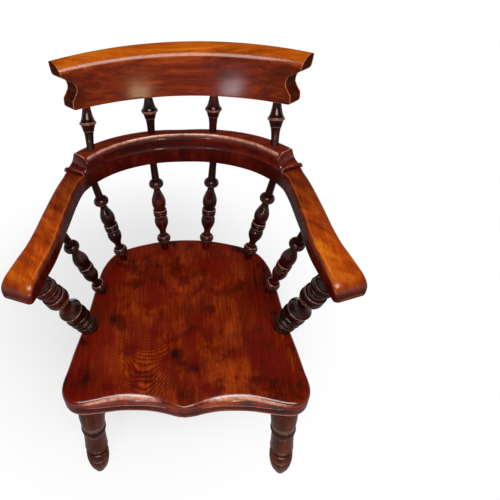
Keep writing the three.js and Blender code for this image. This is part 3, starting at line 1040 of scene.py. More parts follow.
@dataclass(frozen=True)
class Profile:
    """Outline of a turned piece.

    Attributes:
        height: length between the faces at which the places were taken.
        line: smooth line of place and radius.
        beads: half-round rings of place, half width, rise and radius.
        cuts: grooves of place, half width and depth.
        stained: bands of place and half width in which dark stain has gathered.
        STEP: distance of the places at which the outline is sampled.
        KEEP: how far the kept rows may pass the outline by.
        SPREAD: reach of the neighbourhood to which a place is compared.
        RELIEF: difference to that neighbourhood which gives a relief of one.
        STAIN: relief of the stained bands.
    """

    height: float
    line: Table
    beads: Table = ()
    cuts: Table = ()
    stained: Table = ()

    STEP = 0.2
    KEEP = 0.03
    SPREAD = 1.3
    RELIEF = 0.4
    STAIN = -0.45

    def rows(self, start: float, end: float) -> np.ndarray:
        """Samples the outline and keeps the rows that its shape needs.

        Args:
            start: first place.
            end: last place.

        Returns:
            Rows of place, radius and relief, which is above 0 where the outline stands
            out of its neighbourhood and below 0 in its hollows.
        """
        places = np.arange(start, end + self.STEP / 2, self.STEP)
        radius = eased(self.line, places)
        for place, half, rise, top in self.beads:
            off = np.clip(np.abs(places - place) / half, 0, 1)
            ring = top - rise * (1 - np.sqrt(1 - off * off))
            radius = np.where(off < 1, np.maximum(radius, ring), radius)
        for place, half, depth in self.cuts:
            off = np.clip(np.abs(places - place) / half, 0, 1)
            radius = radius - depth * np.sqrt(1 - off * off)
        reach = np.arange(-3 * self.SPREAD, 3 * self.SPREAD + self.STEP, self.STEP)
        weight = np.exp(-0.5 * (reach / self.SPREAD) ** 2)
        pad = len(reach) // 2
        around = np.convolve(np.pad(radius, pad, "edge"), weight / weight.sum(), "same")
        relief = np.clip((radius - around[pad:-pad][:len(radius)]) / self.RELIEF, -1, 1)
        for place, half in self.stained:
            darker = np.minimum(relief, self.STAIN)
            relief = np.where(np.abs(places - place) < half, darker, relief)
        kept = self._kept(places, radius)
        return np.stack([places, radius, relief], -1)[kept]

    def _kept(self, places: np.ndarray, radius: np.ndarray) -> list[int]:
        """Picks the rows that the outline's shape needs.

        Args:
            places: places of all rows.
            radius: their radii.

        Returns:
            Numbers of the rows that are kept, in rising order.
        """
        kept, open_runs = {0, len(places) - 1}, [(0, len(places) - 1)]
        while open_runs:
            low, high = open_runs.pop()
            if high - low < 2:
                continue
            straight = np.interp(places[low:high + 1], places[[low, high]], radius[[low, high]])
            off = np.abs(radius[low:high + 1] - straight)
            worst = low + int(off.argmax())
            if off.max() > self.KEEP:
                kept.add(worst)
                open_runs += [(low, worst), (worst, high)]
        return sorted(kept)


@dataclass(frozen=True)
class Turning:
    """A kind of turned piece.

    Attributes:
        tenon: radius of its tenons.
        sides: number of points round it.
        CHAMFER: bevel at the end of a tenon.
        FOOT: height under which a leg stays plain, and how far it passes the floor
            before it is cut level.
        OFFCUT: how far apart the pieces lie in the grain.
        SHARP: angle in degrees above which an edge stays sharp.
    """

    profile: Profile
    tenon: float
    sides: int
    finish: PolishedWood

    CHAMFER = 1.0
    FOOT = 4.0
    OFFCUT = 7.0
    SHARP = 50.0

    def table(self, length: float, depths: tuple[float, float]) -> np.ndarray:
        """Lists the rows of place, radius and relief, with the tenons.

        Args:
            length: length between the two faces.
            depths: how deep the tenons go; 0 for a foot on the floor.

        Returns:
            The rows from the lower end to the upper one.
        """
        standing = depths[0] == 0
        rows = self.profile.rows(self.FOOT if standing else 0.0, self.profile.height)
        rows[:, 0] *= length / self.profile.height
        low, high, slim = -depths[0], length + depths[1], self.tenon - self.CHAMFER
        foot = [(-self.FOOT, rows[0, 1], 0.0)]
        if not standing:
            foot = [(low, slim, 0.0), (low + self.CHAMFER, self.tenon, 0.0)]
        head = [(high - self.CHAMFER, self.tenon, 0.0), (high, slim, 0.0)]
        return np.vstack([foot, rows, head])

    def make(self, shop: Workshop, plan: Plan, name: str, ends: tuple[np.ndarray, np.ndarray],
             depths: tuple[float, float]) -> None:
        """Turns one piece between two faces, with the grain along it.

        Args:
            shop: where the piece is shown.
            plan: the chair's plan.
            name: name of the CAD node; the piece gets it with "_turned" behind.
            ends: the points on the two faces.
            depths: how deep its tenons go; 0 for a foot on the floor.
        """
        start, end = plan.placed(ends[0]), plan.placed(ends[1])
        table = self.table(float(np.linalg.norm(end - start)) / MM, depths)
        turn = np.linspace(0, 2 * math.pi, self.sides, endpoint=False)
        loops = np.stack([
            table[:, 1, None] * np.cos(turn), table[:, 1, None] * np.sin(turn),
            np.broadcast_to(table[:, 0, None], (len(table), self.sides)),
        ], -1)
        shell = Shell()
        first = shell.loft(loops)
        for level in (0, len(table) - 1):
            shell.fan(np.array([0, 0, table[level, 0]]), first + level * self.sides, self.sides)
        local = np.vstack(shell.points) * MM
        way = Vector(end - start).normalized()
        turned = np.array(Vector((0, 0, 1)).rotation_difference(way).to_matrix())
        points = local @ turned.T + start
        if depths[0] == 0:
            lift = np.where(points[:, 2] < 0, -points[:, 2] / way.z, 0)
            points = points + lift[:, None] * np.array(way)
        made = shell.mesh(f"{name}_turned", points, self.SHARP)
        write(made, "relief", np.pad(np.repeat(table[:, 2], self.sides), (0, 2)))
        grain = local + start[::-1] * self.OFFCUT
        shop.show(f"{name}_turned", made, self.finish, "turned_wood", name, grain)


SPINDLE = Profile(
    228.0,
    ((0, 7.9), (8, 8.3), (15, 8.6), (18.5, 9.4), (27, 11), (36, 8.4), (39, 7.9), (44, 7.6),
     (50, 8.8), (57, 12), (64, 14.8), (71, 15.9), (78, 15.4), (83, 13.6), (86, 12.6),
     (104, 12.8), (108, 13.8), (114, 15.6), (121, 16.1), (128, 15.4), (135, 13.2), (142, 10.4),
     (148, 8.2), (153, 7.4), (156, 8), (158, 9), (166, 11), (174, 9.2), (178, 8.6), (186, 8.4),
     (206, 7.9), (228, 7.6)),
    ((26.6, 8.8, 7.4, 16.3), (88.8, 2.7, 2.2, 15.8), (94.6, 3, 2.4, 16.3), (100.4, 2.7, 2.2, 15.9),
     (166, 9, 7.6, 16.5)),
    ((23.8, 0.8, 1), (29.4, 0.8, 1), (163.2, 0.8, 1), (168.8, 0.8, 1)),
)
UPPER_SPINDLE = Profile(
    79.0,
    ((0, 7.8), (10, 8), (22, 8.8), (29, 9.8), (31, 10.2), (32, 11), (37, 12.6), (41, 14),
     (43.5, 15.2), (46, 16.2), (48.5, 15.8), (52, 13.8), (57, 11.8), (63, 10.2), (69, 9),
     (74, 8.4), (79, 8.2)),
    ((31.6, 1.3, 1, 11.4), (46.2, 2.8, 2.4, 17.4)),
    ((43, 0.7, 0.9), (49.4, 0.7, 0.9)),
)
ARM_POST = Profile(
    228.0,
    ((0, 14), (5, 15), (8, 16), (36, 19.4), (40, 21), (44, 22.4), (52, 23), (60, 23),
     (66, 23), (72, 22.8), (80, 23), (88, 23.6), (91.5, 23.4), (96, 20.8), (101, 17.4), (107, 14.8),
     (113, 13.5), (119, 13.4), (125, 15), (130, 17.6), (134, 20), (138, 22), (146, 23.6),
     (154, 23.2), (160, 20.4), (165, 18.2), (169, 17), (172, 17.2), (176, 19.4), (181, 21.8),
     (187, 22.6), (193, 21.6), (199, 19), (204, 16.2), (209, 14.2), (216, 13.3), (228, 13)),
    ((12, 3.6, 3, 20.8), (18.6, 3, 2.4, 21.8), (25.6, 4, 2.8, 22.8), (32.8, 2.8, 2.4, 22),
     (47, 2, 1.6, 23.9), (65, 3.2, 1.8, 24.8), (90, 1.8, 1.6, 25), (136, 1.6, 1.8, 22.6),
     (141, 1.6, 1.4, 24), (159, 1.8, 1.6, 23), (183, 1.4, 1, 23.2), (196, 1.4, 1.2, 21.6)),
    ((43.8, 0.8, 1), (50.5, 0.8, 1), (54, 0.7, 0.8), (60.6, 0.9, 1.1), (69.6, 0.9, 1.1),
     (86.6, 0.9, 1), (144, 0.9, 1.2), (168.5, 1.6, 2)),
)
LEG = Profile(
    399.0,
    ((0, 11), (4, 13.4), (8, 16), (14, 19), (22, 21.9), (31, 24), (40, 25.4), (48, 26.2),
     (54, 26.4), (66, 26.6), (71, 25), (76.5, 25), (87, 24.4), (90, 20.4),
     (94, 19), (100, 18.9), (104, 20.6), (108, 24.6), (111, 26.6), (118, 26.8), (128, 26.5),
     (146, 26), (170, 25.8), (174, 26.2), (178, 26.4), (200, 27.2), (206, 28), (214, 28.4),
     (226, 29.2), (240, 30), (260, 29.8), (290, 28.6), (315, 25.6), (336, 20.8), (346, 18.6),
     (352, 19), (362, 18.4), (372, 16), (384, 15), (399, 15)),
    ((58, 1.4, 1, 27.4), (66, 1.4, 1.2, 27.6), (81, 6.4, 4.6, 27.4), (111, 1.6, 1.4, 27.6),
     (189, 9, 4.4, 29), (352, 6, 4, 22)),
    ((62, 1, 1.2), (72.6, 1.6, 2), (77, 0.7, 0.8), (115, 0.9, 0.9), (172, 0.8, 0.8),
     (176.4, 1, 1.4), (201.5, 1, 1.4), (206, 0.8, 0.9), (212.5, 1, 1.3)),
    ((189, 8.4), (81, 5), (93, 4), (58, 3)),
)
STRETCHER = Profile(
    1.0,
    ((0, 9), (0.06, 9.6), (0.28, 11.6), (0.32, 12.4), (0.4, 13), (0.5, 15.2), (0.6, 13),
     (0.68, 12.4), (0.72, 11.6), (0.94, 9.6), (1, 9)),
)
CROSS_STRETCHER = Profile(
    1.0,
    ((0, 7.6), (0.08, 8.2), (0.36, 10), (0.44, 11), (0.5, 11.6), (0.56, 11), (0.64, 10),
     (0.92, 8.2), (1, 7.6)),
)


def long_profile(shape: Profile, length: float, rings: Table, cuts: Table) -> Profile:
    """Brings a profile in shares of its length to its true length, with rings and cuts.

    Args:
        shape: profile whose places are shares.
        length: true length.
        rings: half-round rings of share, half width, rise and radius.
        cuts: grooves of share, half width and depth.

    Returns:
        The profile in millimetres.
    """
    tables = (tuple((place * length, *rest) for place, *rest in rows)
              for rows in (shape.line, rings, cuts))
    return Profile(length, *tables)


@dataclass
class Part:
    """Pieces of the chair that are made together.

    Attributes:
        shop: where the pieces are shown.
        plan: the chair's plan.
    """

    shop: Workshop
    plan: Plan


@dataclass
class Legs(Part):
    """Four turned legs, splayed, with their stretchers in an H of two bars.

    Attributes:
        front_shares, rear_shares: place of a leg's top, as on the seat's plan.
        front_splay, rear_splay: how far the foot lies outside and behind the top.
        tenon, stretcher_tenon, cross_tenon: radii of the tenons.
        cross_shares: where the cross stretchers meet the side stretchers.
        leg_radius, stretcher_radius: of what the stretchers stand in.
        leg_sides, bar_sides, cross_sides: number of points round each kind.
    """

    front_shares: tuple[float, float] = (0.868, 0.234)
    rear_shares: tuple[float, float] = (0.67, 0.8)
    front_splay: tuple[float, float] = (17.0, -50.0)
    rear_splay: tuple[float, float] = (20.0, 80.0)
    tenon: float = 14.0
    tenon_depth: float = 26.0
    stretcher_height: float = 146.0
    stretcher_tenon: float = 9.0
    stretcher_depth: float = 20.0
    cross_tenon: float = 7.5
    cross_depth: float = 9.0
    cross_shares: tuple[tuple[str, float], ...] = (("front", 0.36), ("rear", 0.64))
    leg_radius: float = 26.0
    stretcher_radius: float = 12.4
    stretcher_rings: Table = ((0.35, 4, 3, 14.6), (0.65, 4, 3, 14.6))
    stretcher_cuts: Table = ((0.5, 1, 1), (0.47, 1, 0.8), (0.53, 1, 0.8))
    cross_rings: Table = ((0.5, 4, 2, 12.4),)
    leg_sides: int = 56
    bar_sides: int = 36
    cross_sides: int = 32

    def ends(self, place: str, side: int) -> tuple[np.ndarray, np.ndarray]:
        """Places a leg.

        Args:
            place: "front" or "rear".
            side: -1 for the left leg, 1 for the right.

        Returns:
            Its foot and its top.
        """
        is_front = place == "front"
        shares = self.front_shares if is_front else self.rear_shares
        out, back = self.front_splay if is_front else self.rear_splay
        top = self.plan.on_seat(shares, side, self.plan.seat_height - self.plan.seat_thickness)
        return np.array([top[0] + side * out, top[1] + back, 0.0]), top

    def bar_ends(self, side: int) -> tuple[np.ndarray, np.ndarray]:
        """Places a side stretcher.

        Args:
            side: -1 for the left one, 1 for the right.

        Returns:
            Its front and its rear end, on the surfaces of the two legs.
        """
        points = []
        for place in ("front", "rear"):
            foot, top = self.ends(place, side)
            points.append(mix(foot, top, self.stretcher_height / top[2]))
        way = (points[1] - points[0]) / np.linalg.norm(points[1] - points[0])
        return points[0] + way * self.leg_radius, points[1] - way * self.leg_radius

    def build(self) -> None:
        """Makes the four legs and the four stretchers."""
        leg = Turning(LEG, self.tenon, self.leg_sides, LEG_WOOD)
        for word, side in SIDES.items():
            for place in ("front", "rear"):
                ends = self.ends(place, side)
                leg.make(self.shop, self.plan, f"leg_{place}_{word}", ends, (0, self.tenon_depth))
            ends = self.bar_ends(side)
            length = float(np.linalg.norm(ends[1] - ends[0]))
            shape = long_profile(STRETCHER, length, self.stretcher_rings, self.stretcher_cuts)
            bar = Turning(shape, self.stretcher_tenon, self.bar_sides, LEG_WOOD)
            depths = (self.stretcher_depth, self.stretcher_depth)
            bar.make(self.shop, self.plan, f"side_stretcher_{word}", ends, depths)
        for place, share in self.cross_shares:
            ends = tuple(self._on_bar(side, share) for side in SIDES.values())
            length = float(np.linalg.norm(ends[1] - ends[0]))
            shape = long_profile(CROSS_STRETCHER, length, self.cross_rings, ())
            bar = Turning(shape, self.cross_tenon, self.cross_sides, LEG_WOOD)
            depths = (self.cross_depth, self.cross_depth)
            bar.make(self.shop, self.plan, f"cross_stretcher_{place}", ends, depths)

    def _on_bar(self, side: int, share: float) -> np.ndarray:
        """Point on the inner surface of a side stretcher."""
        start, end = self.bar_ends(side)
        return mix(start, end, share) - np.array([side * self.stretcher_radius, 0, 0])


@dataclass
class Stays(Part):
    """Arm posts and spindles between the seat and the bow.

    Attributes:
        places: for each kind, its place on the seat's plan and along the bow.
        seat_depth, arm_depth: how deep the tenons go into the seat and into the arms.
    """

    places: Mapping[str, tuple[tuple[float, float], float]] = field(default_factory=lambda: {
        "arm_post": ((0.83, 0.417), 0.898),
        "side_spindle": ((0.763, 0.634), 0.668),
        "quarter_spindle": ((0.605, 0.862), 0.382),
        "centre_spindle": ((0.202, 0.938), 0.122),
    })
    post_tenon: float = 13.0
    spindle_tenon: float = 7.7
    seat_depth: float = 26.0
    arm_depth: float = 22.0
    post_sides: int = 52
    spindle_sides: int = 40

    def build(self) -> None:
        """Makes the two posts and the six spindles."""
        post = Turning(ARM_POST, self.post_tenon, self.post_sides, TURNED_WOOD)
        spindle = Turning(SPINDLE, self.spindle_tenon, self.spindle_sides, TURNED_WOOD)
        for word, side in SIDES.items():
            for name, (seat_shares, bow_share) in self.places.items():
                start = self.plan.on_seat(seat_shares, side, self.plan.seat_height)
                end = self.plan.on_bow(bow_share, 0.0, self.plan.arm_under, side)[0]
                kind = post if name == "arm_post" else spindle
                depths = (self.seat_depth, self.arm_depth)
                kind.make(self.shop, self.plan, f"{name}_{word}", (start, end), depths)


# Seat

@dataclass
class Seat(Part):
    """Saddled board with a serpentine front, rolled under each thigh.

    Attributes:
        front_round, front_drop: width and height of a thigh roll.
        front_reach: how far the rolls run back.
        roll_start: lean from upright, in degrees, with which a roll begins.
        roll_late: how late a roll bends, above an even arc.
        dish_start, dish_share: shares of the way from the rim to the middle between which
            the saddle falls.
        rim_width, rim_step, rim_step_width: flat rim, and the small step inside it.
        crease, arris: angles in degrees above which an edge is sharp and is an arris.
        thigh_shares: where the pale band on the rolls lies, as shares of half the width.
        roll_band_falls: how far under the rim that band lies.
        shade_falls: how far under the rim the painted shade of the front begins, and where it is
            full.
        front_places: distances from the front point between which this fades out.
        roll_wear_and_sheen, edge_wear_and_sheen, front_shade: relief of the rolls, rubbed wood with
        a painted highlight, of the lower arris, rubbed wood with a painted reflection of the floor,
        and of the painted shade on the upright front.
        outline_shares: right half of the outline, as shares of half the width and the depth.
    """

    side_round: float = 7.0
    front_round: float = 31.0
    front_drop: float = 18.0
    front_reach: float = 70.0
    roll_start: float = 30.0
    roll_late: float = 1.4
    under_radius: float = 4.0
    dish_depth: float = 10.0
    dish_start: float = -0.12
    dish_share: float = 0.8
    rim_width: float = 17.0
    rim_step: float = 0.9
    rim_step_width: float = 3.5
    steps: int = 170
    roll_steps: int = 60
    crease: float = 28.0
    arris: float = 22.0
    thigh_shares: tuple[float, ...] = (0.02, 0.3, 0.72, 0.97)
    roll_band_falls: tuple[float, ...] = (0.1, 3.5, 4.0, 13.0)
    shade_falls: tuple[float, float] = (11.0, 16.0)
    front_places: tuple[float, float] = (30.0, 60.0)
    roll_wear_and_sheen: float = 0.84
    edge_wear_and_sheen: float = 0.8
    front_shade: float = 0.55
    outline_shares: Table = (
        (0, 0), (0.07, 0.005), (0.16, 0.018), (0.28, 0.03), (0.41, 0.033), (0.53, 0.031),
        (0.64, 0.023), (0.74, 0.015), (0.835, 0.011), (0.893, 0.016), (0.938, 0.03),
        (0.971, 0.05), (0.992, 0.076), (1, 0.105), (0.994, 0.142), (0.979, 0.181),
        (0.965, 0.229), (0.946, 0.293), (0.92, 0.366), (0.901, 0.423), (0.868, 0.547),
        (0.844, 0.659), (0.815, 0.767), (0.79, 0.812), (0.753, 0.856), (0.691, 0.899),
        (0.56, 0.941), (0.379, 0.973), (0.206, 0.993), (0, 1),
    )

    def outline(self) -> np.ndarray:
        """Lays the outline of the board, as seen from above.

        Returns:
            Its points, once round from the front point.
        """
        points = np.array(self.outline_shares) * (self.plan.seat_width / 2, self.plan.seat_depth)
        half = Spline(np.vstack([points[:1], points, points[-1:]]), 0.0)
        right = half.at(np.linspace(0, 1, self.steps + 1))
        return np.vstack([right, right[-2:0:-1] * (-1, 1)])

    def loops(self) -> np.ndarray:
        """Lays loops round the board.

        Returns:
            The loops, from the underside over the edge and in to the middle of the saddle.
        """
        outline = self.outline()
        inward = np.array([0, self.plan.seat_depth / 2]) - outline
        reach = np.linalg.norm(inward, axis=1)
        across = np.sin(math.pi * np.abs(outline[:, 0]) / (self.plan.seat_width / 2))
        thigh = across * (1 - fade(0, self.front_reach, outline[:, 1]))
        edge = mix(self.side_round, self.front_round, thigh)
        drop = mix(self.side_round, self.front_drop, thigh)
        under = self.plan.seat_height - self.plan.seat_thickness

        def ring(inset: Any, height: Any) -> np.ndarray:
            """One loop, set in from the outline."""
            place = outline + inward * (inset / reach)[:, None]
            return np.column_stack([place, np.broadcast_to(height, len(outline))])

        flat = np.zeros(len(outline))
        loops = []
        for turn in np.linspace(0, math.pi / 2, 6):
            loops.append(ring(flat + self.under_radius * (1 - math.sin(turn)),
                              under + self.under_radius * (1 - math.cos(turn))))
        for share in (0.4, 0.94):
            rise = mix(under + self.under_radius, self.plan.seat_height - drop, share)
            loops.append(ring(flat, rise))
        way = np.linspace(0, 1, self.roll_steps + 1)[:, None]
        start = np.radians(self.roll_start) * thigh
        lean = mix(start, math.pi / 2, way ** (1 + self.roll_late * thigh))
        into, rise = (np.cumsum(np.vstack([flat[None], (run[1:] + run[:-1]) / 2]), axis=0)
                      for run in (np.sin(lean), np.cos(lean)))
        for row in range(0, self.roll_steps + 1, 4):
            fall = drop * (1 - rise[row] / rise[-1])
            loops.append(ring(edge * into[row] / into[-1], self.plan.seat_height - fall))
        rim = edge + self.rim_width
        for share in (0.35, 0.7, 1.0):
            loops.append(ring(mix(edge, rim, share), self.plan.seat_height))
        for share in (0.25, 0.5, 0.75, 1.0):
            step = self.rim_step * fade(0, 1, share)
            loops.append(ring(rim + self.rim_step_width * share, self.plan.seat_height - step))
        inner = rim + self.rim_step_width
        deep = self.dish_depth - self.rim_step
        shallow = self.rim_step + deep * float(fade(self.dish_start, self.dish_share, 0.0))
        for share in np.linspace(0, 1, 27)[1:-1]:
            fall = self.rim_step + deep * fade(self.dish_start, self.dish_share, share)
            fall = self.rim_step + (fall - shallow) * deep / (self.dish_depth - shallow)
            loops.append(ring(mix(inner, reach, share), self.plan.seat_height - fall))
        return np.array(loops)

    def build(self) -> None:
        """Makes the board."""
        loops = self.loops()
        count = loops.shape[1]
        shell = Shell()
        first = shell.loft(loops)
        for level in (0, len(loops) - 1):
            centre = np.array([0, self.plan.seat_depth / 2, loops[level, 0, 2]])
            shell.fan(centre, first + level * count, count)
        made = shell.mesh("seat_board", self.plan.placed(np.vstack(shell.points)), self.crease)
        mark_arrises(made, self.arris)
        self._rub_and_paint_light(made, loops)
        self.shop.show("seat_board", made, SEAT_WOOD, "seat_wood", "seat")

    def _rub_and_paint_light(self, mesh: bpy.types.Mesh, loops: np.ndarray) -> None:
        """Adds painted light and rubbing on the rolls and lower arris, and painted shade, to
        "relief".

        Args:
            mesh: the board's mesh.
            loops: its loops.
        """
        fall = self.plan.seat_height - loops[..., 2]
        across = np.abs(loops[..., 0]) / (self.plan.seat_width / 2)
        thigh = plateau(self.thigh_shares, across)
        front = 1 - fade(*self.front_places, loops[..., 1])
        # pale band on the thigh rolls: rubbed wood with a painted highlight
        rolled = plateau(self.roll_band_falls, fall)
        # painted shade on the upright front edge
        dark = fade(*self.shade_falls, fall) * front
        face = self.roll_wear_and_sheen * rolled * thigh * front - self.front_shade * dark
        lower = slice(3, 6)
        with reworked(mesh, loops.shape[:2]) as (rows, _):
            rows[:] = np.where(rows > HALF, rows, face)
            # pale lower front arris: rubbed wood with a painted reflection of the floor
            rows[lower] = np.where(front[lower] > HALF, self.edge_wear_and_sheen, rows[lower])


# Arms and crest

@dataclass
class Arms(Part):
    """Two sawn halves of the bow, flat on top, with rolled front ends.

    Attributes:
        outer_round, inner_round, joint_round: radii of the top edges, and under the crest.
        nose_radius, corner_radius: of the end, seen from the side and from above.
        butt_gap: half the gap at the middle of the back.
        head_hole, head_height: of the holes for the screws' heads.
        drill_past: how far the drill starts under the arm, in metres.
        roll_share: share of a quarter turn that the inner top edge takes.
        edge_wear_and_sheen, end_wear: relief of the inner edge, a rubbed line with a painted
            highlight,
        and of the end's upper edge.
        nose_wear: most relief of the last loops.
        side_rows, face_cols: number of points up a side and over the face.
        bare_reach: shares of the way, before and after the crest's end, between which the
            top edges grow round.
        most_round: largest radius, as a share of the thickness.
        flat_light, nose_light: upward parts of the normal between which painted light replaces
        painted shade, on the top and at the end.
        nose_shares: shares of the way between which the one pair goes over to the other.
        shade_line: how dark the top is, by share of the way to the tip.
        width_shares: width at shares of the way to the tip.
    """

    outer_round: float = 5.0
    inner_round: float = 7.0
    joint_round: float = 0.5
    crown: float = 1.5
    nose_radius: float = 29.0
    corner_radius: float = 8.0
    butt_gap: float = 0.001
    head_hole: float = 5.3
    head_height: float = 3.5
    drill_past: float = 0.002
    roll_share: float = 0.62
    edge_wear_and_sheen: float = 0.62
    end_wear: float = 0.7
    nose_wear: float = 0.3
    bare_reach: tuple[float, float] = (-0.012, 0.03)
    most_round: float = 0.45
    nose_shares: tuple[float, float] = (0.9, 0.96)
    flat_light: tuple[float, float] = (0.75, 0.97)
    nose_light: tuple[float, float] = (0.3, 0.9)
    shade_line: Table = (
        (0, 1), (0.44, 1), (0.47, 0.8), (0.53, 0.65), (0.62, 0.42), (0.74, 0.08), (0.9, 0),
        (0.94, 0.06), (0.965, 0.2), (1, 0.55),
    )
    steps: int = 90
    nose_steps: int = 14
    side_rows: int = 11
    face_cols: int = 11
    width_shares: Table = (
        (0, 1), (0.39, 1), (0.48, 0.93), (0.55, 0.955), (0.64, 1.01), (0.7, 1.035),
        (0.755, 1.09), (0.83, 1.16), (0.895, 1.22), (0.955, 1.28), (1, 1.32),
    )

    def section(self, width: float, top: float, bottom: float, rounds: tuple[float, float],
                crown: float) -> np.ndarray:
        """Draws one section of the arm.

        Args:
            width: width of the arm.
            top: height of its top edges.
            bottom: height of its underside.
            rounds: radii of the inner and the outer top edge.
            crown: rise of the top face between its edges.

        Returns:
            Points up the inner side, over the top, down the outer side and back under,
            as offset to the outside and height.
        """
        half, (inner, outer) = width / 2, rounds
        low = min(outer, (top - bottom) * 0.3)
        turn = np.linspace(0, math.pi / 2, 5)
        up = [(-half + low * (1 - math.sin(a)), bottom + low * (1 - math.cos(a))) for a in turn]
        roll = turn * self.roll_share
        inside = [(-half + inner * (1 - math.cos(a)) / (1 - math.cos(roll[-1])),
                   top - inner * (1 - math.sin(a) / math.sin(roll[-1]))) for a in roll]
        outside = [(half - outer * (1 - math.cos(a)), top - outer * (1 - math.sin(a)))
                   for a in turn]
        down = [(-x, y) for x, y in up]
        middle = [(-half, (bottom + low + top - inner) / 2)]
        beside = [(half, (bottom + low + top - outer) / 2)]
        face = np.linspace(-half + inner, half - outer, self.face_cols + 2)[1:-1]
        over = [(x, top + crown * (1 - (x / half) ** 2)) for x in face]
        under = np.linspace(half - low, -half + low, self.face_cols + 2)[1:-1]
        base = [(x, bottom) for x in under]
        return np.array([*up, *middle, *inside, *over, *outside[::-1], *beside, *down[::-1], *base])

    def loops(self, side: int, shares: np.ndarray) -> np.ndarray:
        """Lays the sections of an arm along the bow.

        Args:
            side: -1 for the left arm, 1 for the right.
            shares: places of the sections, as shares of the way to the tip.

        Returns:
            One loop for each share.
        """
        reach = self.plan.bow().length
        loops = []
        for share, width in zip(shares, self.plan.arm_width * eased(self.width_shares, shares)):
            to_tip = (1 - share) * reach
            drop = float(sag(self.nose_radius, self.nose_radius - to_tip))
            narrow = float(sag(self.corner_radius, self.corner_radius - to_tip))
            bare = float(fade(*(self.plan.crest_end + past for past in self.bare_reach), share))
            top, bottom = self.plan.arm_height - drop, self.plan.arm_under + narrow / 2
            most = (top - bottom) * self.most_round
            rounds = tuple(min(mix(self.joint_round, radius, bare), most)
                           for radius in (self.inner_round, self.outer_round))
            section = self.section(width - 2 * narrow, top, bottom, rounds, self.crown * bare)
            loop = self.plan.on_bow(share, section[:, 0], section[:, 1], side)
            loop[:, 0] += side * self.butt_gap if share == 0 else 0
            loops.append(loop)
        return np.array(loops)

    def build(self) -> None:
        """Makes both arms."""
        nose = 1 - self.nose_radius / self.plan.bow().length
        turn = np.linspace(0, math.pi / 2, self.nose_steps + 1)[1:]
        even = np.linspace(0, nose, self.steps)
        shares = np.concatenate([even, nose + (1 - nose) * np.sin(turn)])
        for word, side in SIDES.items():
            loops = self.loops(side, shares)
            made = sawn(f"arm_{word}_sawn", self.plan, loops, self.side_rows)
            self._shade(made, loops.shape[1], shares)
            piece = self.shop.show(f"arm_{word}_sawn", made, ARM_WOOD, "arm_wood", f"arm_{word}")
            for place in ("middle", "end"):
                self._bore(piece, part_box(f"crest_screw_{place}_{word}"))
            piece.data.set_sharp_from_angle(angle=math.radians(CREASE))
            spots = np.array([vertex.co for vertex in piece.data.vertices])
            piece.data.attributes["place"].data.foreach_set("vector", spots.ravel())

    def _bore(self, piece: bpy.types.Object, screw: Sequence[Vector]) -> None:
        """Bores the hole that takes the head of a screw.

        Args:
            piece: the arm.
            screw: lowest and highest corner of the screw's box.
        """
        low, high = screw
        top, bottom = low.z + self.head_height * MM, self.plan.arm_under * MM - self.drill_past
        drill = bpy.data.meshes.new("drill")
        edit = bmesh.new()
        bmesh.ops.create_cone(edit, cap_ends=True, segments=32, depth=top - bottom,
                              radius1=self.head_hole * MM, radius2=self.head_hole * MM)
        edit.to_mesh(drill)
        edit.free()
        tool = bpy.data.objects.new("drill", drill)
        bpy.context.scene.collection.objects.link(tool)
        tool.location = ((low.x + high.x) / 2, (low.y + high.y) / 2, (top + bottom) / 2)
        cut = piece.modifiers.new("bore", "BOOLEAN")
        cut.operation, cut.solver, cut.object = "DIFFERENCE", "EXACT", tool
        evaluated = piece.evaluated_get(bpy.context.evaluated_depsgraph_get())
        piece.data = bpy.data.meshes.new_from_object(evaluated)
        piece.modifiers.clear()
        bpy.data.objects.remove(tool)

    def _shade(self, mesh: bpy.types.Mesh, count: int, shares: np.ndarray) -> None:
        """Writes the painted shade "shade", adds the pale edges to "relief" and clears it under the
        crest.

        Args:
            mesh: the arm's mesh.
            count: number of points in each of its loops.
            shares: place of each loop on the way to the tip.
        """
        bare = 1 - eased(self.shade_line, shares)
        nose = np.zeros(len(mesh.vertices))
        nose[:len(shares) * count] = np.repeat(fade(*self.nose_shares, shares), count)
        slopes = (mix(flat, tip, nose) for flat, tip in zip(self.flat_light, self.nose_light))
        # painted shade on slopes and undersides, painted light on the tops, which stay darker
        # towards the back and at the nose by the share of the way
        shade_by_slope(mesh, *slopes, np.repeat(bare, count))
        with reworked(mesh, (len(shares), count)) as (rows, _):
            nose_rows = rows[-self.nose_steps - 2:]
            nose_rows[:] = np.minimum(nose_rows, self.nose_wear)
            # pale line along the inner top edge: rubbed wood with a painted highlight
            rows[:-self.nose_steps, self.side_rows - 1] = self.edge_wear_and_sheen
            rows[-1, self.side_rows:self.side_rows + self.face_cols + 1] = self.end_wear
            rows[shares < self.plan.crest_end - 0.01] = 0


